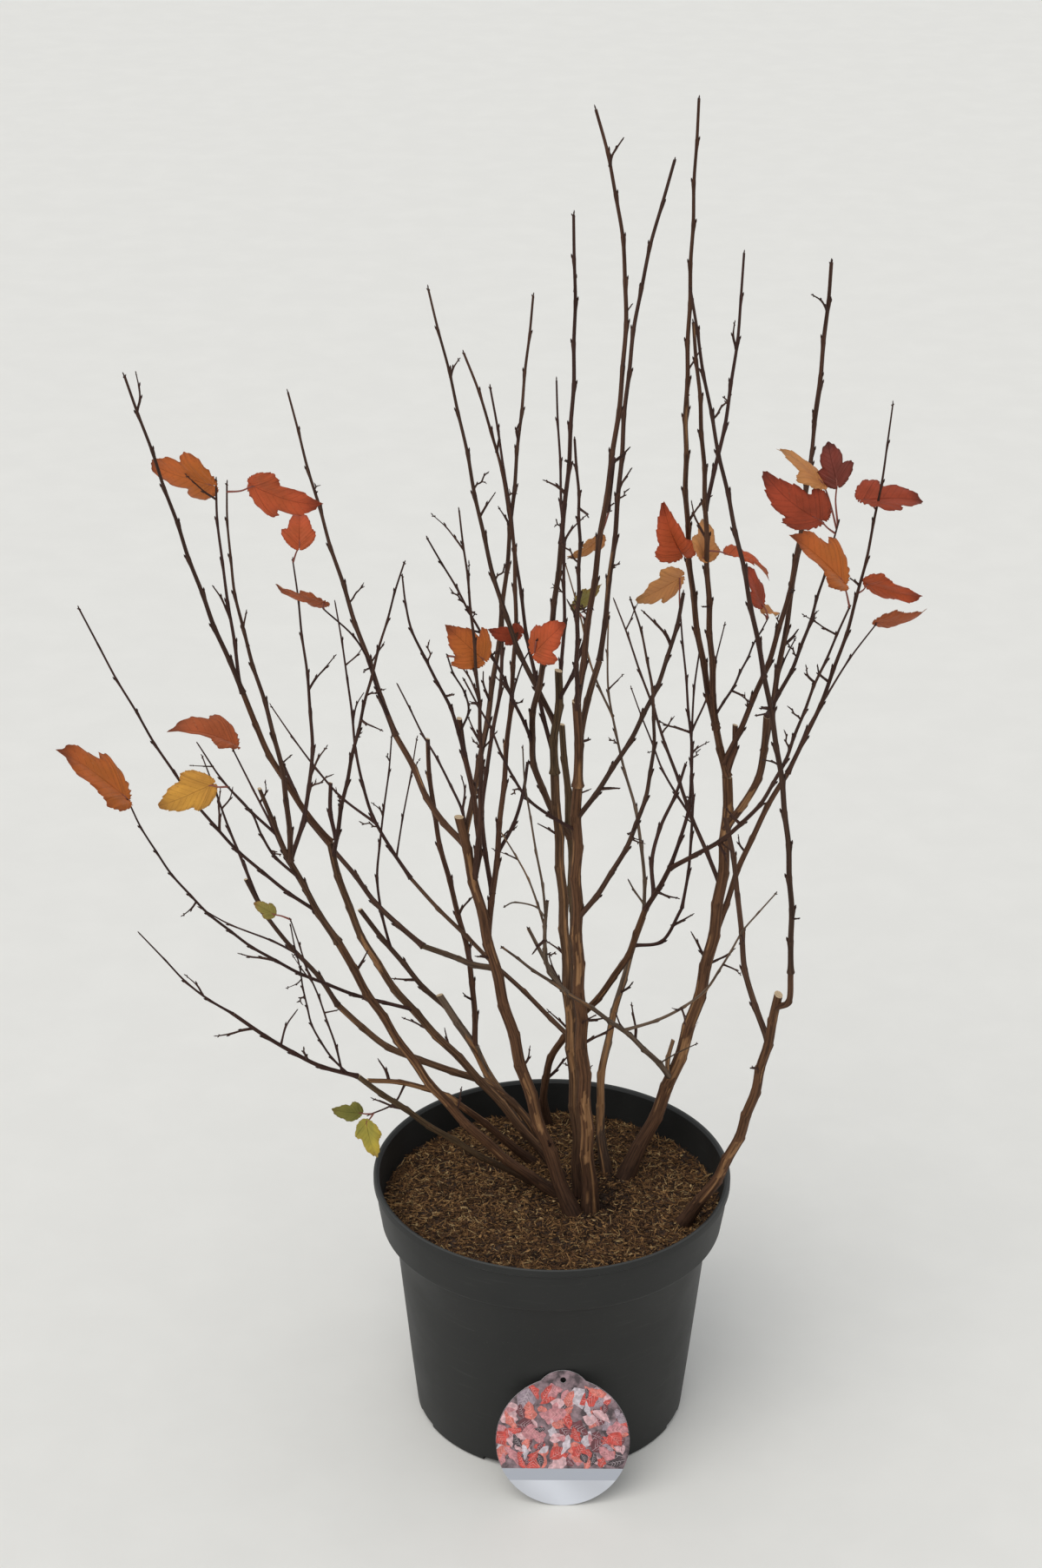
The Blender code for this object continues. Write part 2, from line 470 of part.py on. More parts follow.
class Plant:
    """Keeps every limb's line and thickness, so that others can leave it and keep clear of it."""

    def __init__(self, parts, cutters):
        self.parts = parts
        self.cutters = cutters
        self.lines = {}
        self.radii = {}
        self.chance = random.Random(SEED)

    def lay_out(self):
        for name, cane in CANES.items():
            foot = (cane.foot[0] * MM, cane.foot[1] * MM, SOIL_HEIGHT + GAP)
            line = limb_line(foot, cane.tip, cane.bow, cane.swing, CANE_SPACING)
            self.add_line(name, line, cane.radii)
        for name, bough in BOUGHS.items():
            self.add_limb(name, bough)
        for limbs in SPRAYS.values():
            for name, limb in limbs.items():
                self.add_limb(name, limb)

    def add_limb(self, name, limb):
        start = point_on(self.lines[limb.on], limb.share)
        line = limb_line(start, limb.tip, limb.bow, limb.swing, WAND_SPACING)
        self.add_line(name, line, limb.radii)

    def add_line(self, name, line, radii):
        thick = taper(radii, len(line))
        if name in CANES:
            thick = thick * (1 + FLARE * np.exp(-reach_along(line) / FLARE_LENGTH))
        self.lines[name] = kinked(line, self.chance, thick)
        self.radii[name] = thick

    def clear_of_others(self, points, radius, ignore):
        """Whether a short twig at these points stays off every limb but its own."""
        for name, line in self.lines.items():
            if name == ignore:
                continue
            for first, second, thick in zip(line[:-1], line[1:], self.radii[name]):
                along = second - first
                for point in points:
                    share = np.clip(np.dot(point - first, along) / np.dot(along, along), 0, 1)
                    apart = np.linalg.norm(point - first - share * along)
                    if apart < thick + radius + SPUR_CLEAR:
                        return False
        return True

    def cutter_of(self, name):
        """The limb grown by the gap, to cut what leaves it."""
        sides = 2 if name in CANES else 1
        radii = self.radii[name] / math.cos(math.pi / (2 * sides + 4)) + GAP
        return tube(name + "_cutter", self.lines[name], radii, self.cutters, sides, GAP)

    def cane(self, name):
        line = self.lines[name].copy()
        line[0] -= ROOT_DEPTH * unit(line[1] - line[0])
        obj = tube(name, line, self.radii[name], self.parts, 2)
        work = bmesh.new()
        work.from_mesh(obj.data)
        everything = list(work.verts) + list(work.edges) + list(work.faces)
        ground = (0, 0, SOIL_HEIGHT + GAP)
        cut = bmesh.ops.bisect_plane(
            work, geom=everything, plane_co=ground, plane_no=(0, 0, 1), clear_inner=True
        )
        edges = [item for item in cut["geom_cut"] if isinstance(item, bmesh.types.BMEdge)]
        bmesh.ops.contextual_create(work, geom=edges)
        bmesh.ops.recalc_face_normals(work, faces=work.faces)
        work.to_mesh(obj.data)
        work.free()
        return self.finish(obj, BARK, 0.7)

    def bough(self, name):
        obj = tube(name, self.lines[name], self.radii[name], self.parts, 1)
        self.cut_from(obj, BOUGHS[name].on)
        return self.finish(obj, BARK, 0.7)

    def cut_from(self, obj, carrier):
        cutter = self.cutter_of(carrier)
        boolean(obj, "DIFFERENCE", cutter, "MANIFOLD")
        bpy.data.objects.remove(cutter, do_unlink=True)
        keep_largest_body(obj)

    def spurs(self, name):
        """Short side twigs along one wand, as pairs of end points."""
        line = self.lines[name]
        length = reach_along(line)[-1]
        for step in range(1, int(length / SPUR_EVERY)):
            share = (step + self.chance.uniform(-SPUR_SHIFT, SPUR_SHIFT)) * SPUR_EVERY / length
            turn = self.chance.uniform(0, 2 * math.pi)
            size = self.chance.uniform(*SPUR_LENGTH)
            kept = self.chance.random() <= SPUR_SHARE
            if not kept or not SPUR_SPAN[0] <= share <= SPUR_SPAN[1]:
                continue
            foot = point_on(line, share)
            along = unit(point_on(line, share + 0.02) - foot)
            across = unit(np.cross(along, (math.cos(turn), math.sin(turn), 0.3)))
            tip = foot + size * unit(SPUR_LEAN * along + across)
            points = [foot + (tip - foot) * part for part in (0.5, 1.0)]
            if self.clear_of_others(points, SPUR_RADIUS[0], name):
                yield foot, tip

    def spray(self, name):
        limbs = SPRAYS[name]
        pieces = new_collection(name + "_pieces")
        stem = next(iter(limbs))
        obj = tube(name, self.lines[stem], self.radii[stem], self.parts)
        for limb in limbs:
            if limb != stem:
                tube(limb, self.lines[limb], self.radii[limb], pieces)
            for foot, tip in self.spurs(limb):
                tube(limb + "_spur", [foot, tip], SPUR_RADIUS, pieces)
            for leaf in LEAVES:
                if leaf.on == limb:
                    self.leaf(leaf, pieces)
        if pieces.objects:
            boolean(obj, "UNION", pieces, "MANIFOLD")
        for piece in list(pieces.objects):
            bpy.data.objects.remove(piece, do_unlink=True)
        bpy.data.collections.remove(pieces)
        self.cut_from(obj, limbs[stem].on)
        colour = DEAD_BARK if name in ("spray_dead", "spray_grey") else WAND_BARK
        return self.finish(obj, colour, 0.6)

    def leaf(self, leaf, pieces):
        """One blade in three lobes on its stalk, folded a little along the midrib."""
        joint = point_on(self.lines[leaf.on], leaf.share)
        base = joint + np.array(leaf.stalk) * MM
        blade = np.array(leaf.blade) * MM
        length = np.linalg.norm(blade)
        along = blade / length
        level = unit(np.cross(LEAF_FACES, along))
        turn = math.radians(leaf.turn)
        facing = math.cos(turn) * np.cross(along, level) + math.sin(turn) * level
        across = np.cross(facing, along)
        half = 0.5 * LEAF_WIDTH * length
        work = bmesh.new()
        rows = []
        for part, wide in LEAF_STATIONS:
            middle = base + (along * part - facing * leaf.curl * part ** 2) * length
            edge = half * wide
            rows.append([
                work.verts.new(middle + across * edge * side + facing * abs(side) * leaf.fold * edge)
                for side in (-1, 0, 1)
            ])
        for low, high in zip(rows, rows[1:]):
            for left in (0, 1):
                work.faces.new((low[left], low[left + 1], high[left + 1], high[left]))
        mesh = bpy.data.meshes.new(leaf.on + "_blade")
        work.to_mesh(mesh)
        work.free()
        obj = mesh_object(leaf.on + "_blade", mesh, pieces)
        solid = obj.modifiers.new("thickness", "SOLIDIFY")
        solid.thickness = LEAF_THICKNESS
        solid.offset = 0
        applied(obj)
        inside = base + (along * STALK_HOLD - facing * leaf.curl * STALK_HOLD ** 2) * length
        stalk = np.array([joint, base, inside])
        tube(leaf.on + "_stalk", stalk, [STALK_RADIUS] * 3, pieces)

    def finish(self, obj, colour, roughness):
        smooth(obj)
        obj.data.materials.clear()
        obj.data.materials.append(make_material(obj.name, colour, roughness))
        return obj


def turned(name, profile, collection, steps=POT_STEPS):
    """A profile of (radius, height) from the axis at the top, down the outer side, to the axis below."""
    mesh = bpy.data.meshes.new(name)
    work = bmesh.new()
    verts = [work.verts.new((radius, 0, height)) for radius, height in profile]
    for first, second in zip(verts, verts[1:]):
        work.edges.new((first, second))
    work.to_mesh(mesh)
    work.free()
    obj = mesh_object(name, mesh, collection)
    screw = obj.modifiers.new("turn", "SCREW")
    screw.steps = steps
    screw.render_steps = steps
    screw.use_merge_vertices = True
    screw.merge_threshold = WELD
    screw.use_normal_calculate = True
    return applied(obj)


def make_pot(parts, cutters):
    inner_foot = FOOT_RADIUS - WALL
    obj = turned("pot", [
        (0, FLOOR),
        (inner_foot, FLOOR),
        (WALL_TOP_RADIUS - WALL, COLLAR_FOOT_HEIGHT + WALL),
        (COLLAR_FOOT_RADIUS - WALL, COLLAR_FOOT_HEIGHT + WALL),
        (COLLAR_RADIUS - WALL, POT_HEIGHT - LIP_ROUND),
        (COLLAR_RADIUS - WALL + LIP_ROUND, POT_HEIGHT),
        (LIP_RADIUS - LIP_ROUND, POT_HEIGHT),
        (LIP_RADIUS, POT_HEIGHT - LIP_ROUND),
        (LIP_RADIUS, POT_HEIGHT - LIP_DROP + LIP_ROUND),
        (COLLAR_RADIUS, POT_HEIGHT - LIP_DROP),
        (COLLAR_FOOT_RADIUS, COLLAR_FOOT_HEIGHT),
        (WALL_TOP_RADIUS, COLLAR_FOOT_HEIGHT - COLLAR_STEP),
        (FOOT_RADIUS, FOOT_ROUND),
        (FOOT_RADIUS - FOOT_ROUND, 0),
        (0, 0),
    ], parts)
    for index in range(NOTCHES):
        turn = 2 * math.pi * (index + 0.5) / NOTCHES
        bpy.ops.mesh.primitive_cube_add(size=1)
        cutter = bpy.context.active_object
        for collection in cutter.users_collection:
            collection.objects.unlink(cutter)
        cutters.objects.link(cutter)
        cutter.scale = (NOTCH_SIZE[1], NOTCH_SIZE[0], NOTCH_SIZE[2] * 2)
        cutter.rotation_euler = (0, 0, turn)
        cutter.location = (FOOT_RADIUS * math.cos(turn), FOOT_RADIUS * math.sin(turn), 0)
        boolean(obj, "DIFFERENCE", cutter)
        bpy.data.objects.remove(cutter, do_unlink=True)
    smooth(obj, 25)
    obj.data.materials.append(make_material("pot", (0.025, 0.026, 0.027), 0.55))
    return obj


def make_soil(parts):
    """The potting mix, level round the canes and falling a little to the pot's wall."""
    inside = WALL + GAP
    obj = turned("soil", [
        (0, SOIL_HEIGHT),
        (SOIL_FLAT_RADIUS, SOIL_HEIGHT),
        (inner_collar_radius(SOIL_EDGE_HEIGHT) - inside, SOIL_EDGE_HEIGHT),
        (COLLAR_FOOT_RADIUS - inside, COLLAR_FOOT_HEIGHT + WALL + GAP),
        (WALL_TOP_RADIUS - inside, COLLAR_FOOT_HEIGHT + WALL + GAP),
        (FOOT_RADIUS - inside, FLOOR + GAP),
        (0, FLOOR + GAP),
    ], parts)
    smooth(obj, 25)
    obj.data.materials.append(make_material("soil", (0.13, 0.07, 0.04), 0.95))
    return obj


def inner_collar_radius(height):
    rise = (height - COLLAR_FOOT_HEIGHT - WALL) / (POT_HEIGHT - COLLAR_FOOT_HEIGHT - WALL)
    return COLLAR_FOOT_RADIUS + rise * (COLLAR_RADIUS - COLLAR_FOOT_RADIUS)


def make_label(parts, cutters):
    """A thin round label with a tab, standing on its edge and leaning on the pot's front."""
    bpy.ops.mesh.primitive_cylinder_add(vertices=56, radius=LABEL_RADIUS, depth=LABEL_THICKNESS)
    obj = bpy.context.active_object
    move_to(obj, parts, "label")
    bpy.ops.mesh.primitive_cylinder_add(
        vertices=28, radius=LABEL_TAB_RADIUS, depth=LABEL_THICKNESS, location=(0, LABEL_TAB_RISE, 0)
    )
    tab = bpy.context.active_object
    move_to(tab, cutters, "label_tab")
    boolean(obj, "UNION", tab)
    bpy.ops.mesh.primitive_cylinder_add(
        vertices=16, radius=LABEL_HOLE_RADIUS, depth=5 * LABEL_THICKNESS,
        location=(0, LABEL_HOLE_RISE, 0),
    )
    hole = bpy.context.active_object
    move_to(hole, cutters, "label_hole")
    boolean(obj, "DIFFERENCE", hole)
    for cutter in (tab, hole):
        bpy.data.objects.remove(cutter, do_unlink=True)
    rise = math.pi / 2 - LABEL_LEAN
    top = LABEL_TAB_RISE + LABEL_TAB_RADIUS
    half = LABEL_THICKNESS / 2
    foot_z = GAP + half * math.sin(LABEL_LEAN)
    top_z = foot_z + (LABEL_RADIUS + top) * math.cos(LABEL_LEAN)
    wall = FOOT_RADIUS + (WALL_TOP_RADIUS - FOOT_RADIUS) * top_z / COLLAR_FOOT_HEIGHT
    front = math.sqrt(wall ** 2 - LABEL_CENTRE_X ** 2) + GAP + half / math.cos(LABEL_LEAN) + LABEL_SLACK
    obj.rotation_euler = (rise, 0, 0)
    obj.location = (
        LABEL_CENTRE_X,
        -front - top * math.sin(LABEL_LEAN),
        foot_z + LABEL_RADIUS * math.cos(LABEL_LEAN),
    )
    smooth(obj, 30)
    obj.data.materials.append(make_material("label", (0.55, 0.12, 0.16), 0.35))
    return obj


def move_to(obj, collection, name):
    for old in obj.users_collection:
        old.objects.unlink(obj)
    collection.objects.link(obj)
    obj.name = name


def main():
    clear_scene()
    parts = new_collection("potted_ninebark")
    cutters = new_collection("cutters")
    cutters.hide_render = True
    make_pot(parts, cutters)
    make_soil(parts)
    make_label(parts, cutters)
    plant = Plant(parts, cutters)
    plant.lay_out()
    for name in CANES:
        plant.cane(name)
    for name in BOUGHS:
        plant.bough(name)
    for name in SPRAYS:
        plant.spray(name)


main()
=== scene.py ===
import itertools
import json
import math
import random
from collections import namedtuple

import bmesh
import bpy
import numpy as np
from mathutils import Matrix, Vector

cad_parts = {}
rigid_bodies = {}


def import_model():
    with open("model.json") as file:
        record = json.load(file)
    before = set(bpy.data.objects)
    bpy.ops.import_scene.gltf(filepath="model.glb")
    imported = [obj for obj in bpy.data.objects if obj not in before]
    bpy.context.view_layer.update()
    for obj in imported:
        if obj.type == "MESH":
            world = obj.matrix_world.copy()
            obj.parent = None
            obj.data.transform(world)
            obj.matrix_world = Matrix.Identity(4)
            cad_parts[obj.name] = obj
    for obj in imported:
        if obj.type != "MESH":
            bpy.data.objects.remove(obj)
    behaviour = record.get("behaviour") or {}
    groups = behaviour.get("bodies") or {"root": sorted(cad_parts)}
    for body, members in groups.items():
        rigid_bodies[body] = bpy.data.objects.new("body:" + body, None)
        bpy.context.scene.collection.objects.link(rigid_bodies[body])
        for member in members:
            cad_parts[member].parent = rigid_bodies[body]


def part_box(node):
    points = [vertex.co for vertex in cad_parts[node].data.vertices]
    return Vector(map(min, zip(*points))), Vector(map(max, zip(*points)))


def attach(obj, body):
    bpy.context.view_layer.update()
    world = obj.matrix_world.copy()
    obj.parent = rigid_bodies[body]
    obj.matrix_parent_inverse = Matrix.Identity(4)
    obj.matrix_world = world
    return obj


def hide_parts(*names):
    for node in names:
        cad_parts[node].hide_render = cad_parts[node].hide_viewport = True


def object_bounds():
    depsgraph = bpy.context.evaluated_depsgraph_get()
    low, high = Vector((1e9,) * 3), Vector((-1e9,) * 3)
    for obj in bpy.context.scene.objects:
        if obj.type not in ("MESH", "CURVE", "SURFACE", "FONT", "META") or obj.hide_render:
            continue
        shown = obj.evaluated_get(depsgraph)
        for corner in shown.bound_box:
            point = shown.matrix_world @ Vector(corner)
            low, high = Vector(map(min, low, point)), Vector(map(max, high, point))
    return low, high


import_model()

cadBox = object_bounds()
mm = 0.001

# How the limbs are laid out. The tables that follow repeat the solids' own sizes, in millimetres.
growth = {
    "seed": 20,
    "caneSpacing": 26 * mm,
    "wandSpacing": 30 * mm,
    "twigSpacing": 10 * mm,
    "kink": 0.16,
    "flare": 0.45,
    "flareLength": 14 * mm,
    "caneFoot": 186 * mm,
    "spurEvery": 62 * mm,
    "spurShare": 0.4,
    "spurLength": (9 * mm, 20 * mm),
    "spurRadius": (0.75 * mm, 0.45 * mm),
}

# A cane has its foot on the mix, and a limb leaves another limb some share of the way along it.
# bow is how far the middle stands off the straight line in x and z, and swing is an S-bend.
Cane = namedtuple("Cane", "foot tip bow radii swing", defaults=[(0, 0)])
Limb = namedtuple("Limb", "on share tip bow radii swing", defaults=[(0, 0)])
# stalk runs from the wand to the blade's base, blade from the base to the tip, turn rolls the
# blade about its own length, curl is how far its tip drops, as a share of the length, and fold is
# how far its edges rise, as a share of the half width.
Leaf = namedtuple("Leaf", "on share stalk blade turn curl fold tint")

canes = {
    "cane_left_low": Cane((-12, 18), (-149, -34, 314), (-6, -2), (2.6, 2.1), (-1, 0)),
    "cane_peeled": Cane((-16, 51), (-144, 5, 287), (4, 18), (3.0, 1.8), (-5, 0)),
    "cane_fan_low": Cane((-5, 57), (-171, 90, 306), (8, 10), (3.2, 2.4), (8, 10)),
    "cane_fan_mid": Cane((1, 5), (-160, -57, 442), (-15, -10), (3.8, 2.9), (-2, 0)),
    "cane_left_long": Cane((6, 33), (-171, 40, 476), (-17, -11), (3.4, 2.6), (6, 5)),
    "cane_old": Cane((-9, 75), (-91, 120, 299), (-1, -3), (4.0, 3.0), (-2, 0)),
    "cane_left_upright": Cane((15, -19), (-72, 0, 517), (-6, -1), (5.2, 3.4), (-1, 0)),
    "cane_mid_left": Cane((23, 8), (-1, 18, 545), (0, 0), (4.6, 3.3)),
    "cane_mid_back": Cane((27, 39), (5, 100, 548), (0, 0), (4.2, 2.4), (-2, 0)),
    "cane_mid_right": Cane((30, -14), (15, -44, 564), (-3, -1), (5.4, 3.7), (1, 0)),
    "cane_grey": Cane((44, 40), (72, 110, 377), (-14, 1), (3.6, 2.2), (-2, 0)),
    "cane_red_right": Cane((-3, 113), (70, 40, 420), (-11, 1), (3.0, 2.4), (-10, 2)),
    "cane_right": Cane((60, 32), (132, 80, 514), (21, -1), (5.4, 3.9)),
    "cane_front_right": Cane((104, -34), (160, -120, 435), (13, -2), (4.4, 3.2), (2, 0)),
}

boughs = {
    "bough_left_long": Limb("cane_left_long", 1.0, (-231, 20, 608), (-7, -1), (2.5, 2.0)),
    "bough_bend": Limb("cane_left_upright", 0.63, (-102, 80, 365), (0, -2), (2.4, 2.2), (-3, 0)),
    "bough_arch": Limb("cane_left_upright", 0.93, (-122, 90, 542), (-3, -5), (2.5, 2.2), (-2, 0)),
    "bough_back_left": Limb("cane_mid_back", 0.29, (-114, 150, 389), (1, -3), (2.0, 1.5), (1, 0)),
    "bough_mid_side": Limb("cane_mid_right", 0.93, (32, 60, 618), (-5, 0), (2.8, 2.3), (1, 0)),
    "bough_far_right": Limb("cane_right", 0.45, (183, 130, 494), (-8, 2), (2.4, 2.0), (1, 0)),
    "bough_right_fork": Limb("cane_right", 0.88, (156, 30, 587), (9, -4), (3.0, 2.6)),
    "bough_front_loop": Limb("cane_front_right", 0.95, (166, -140, 464), (4, -9), (2.3, 2.1), (1, 0)),
}

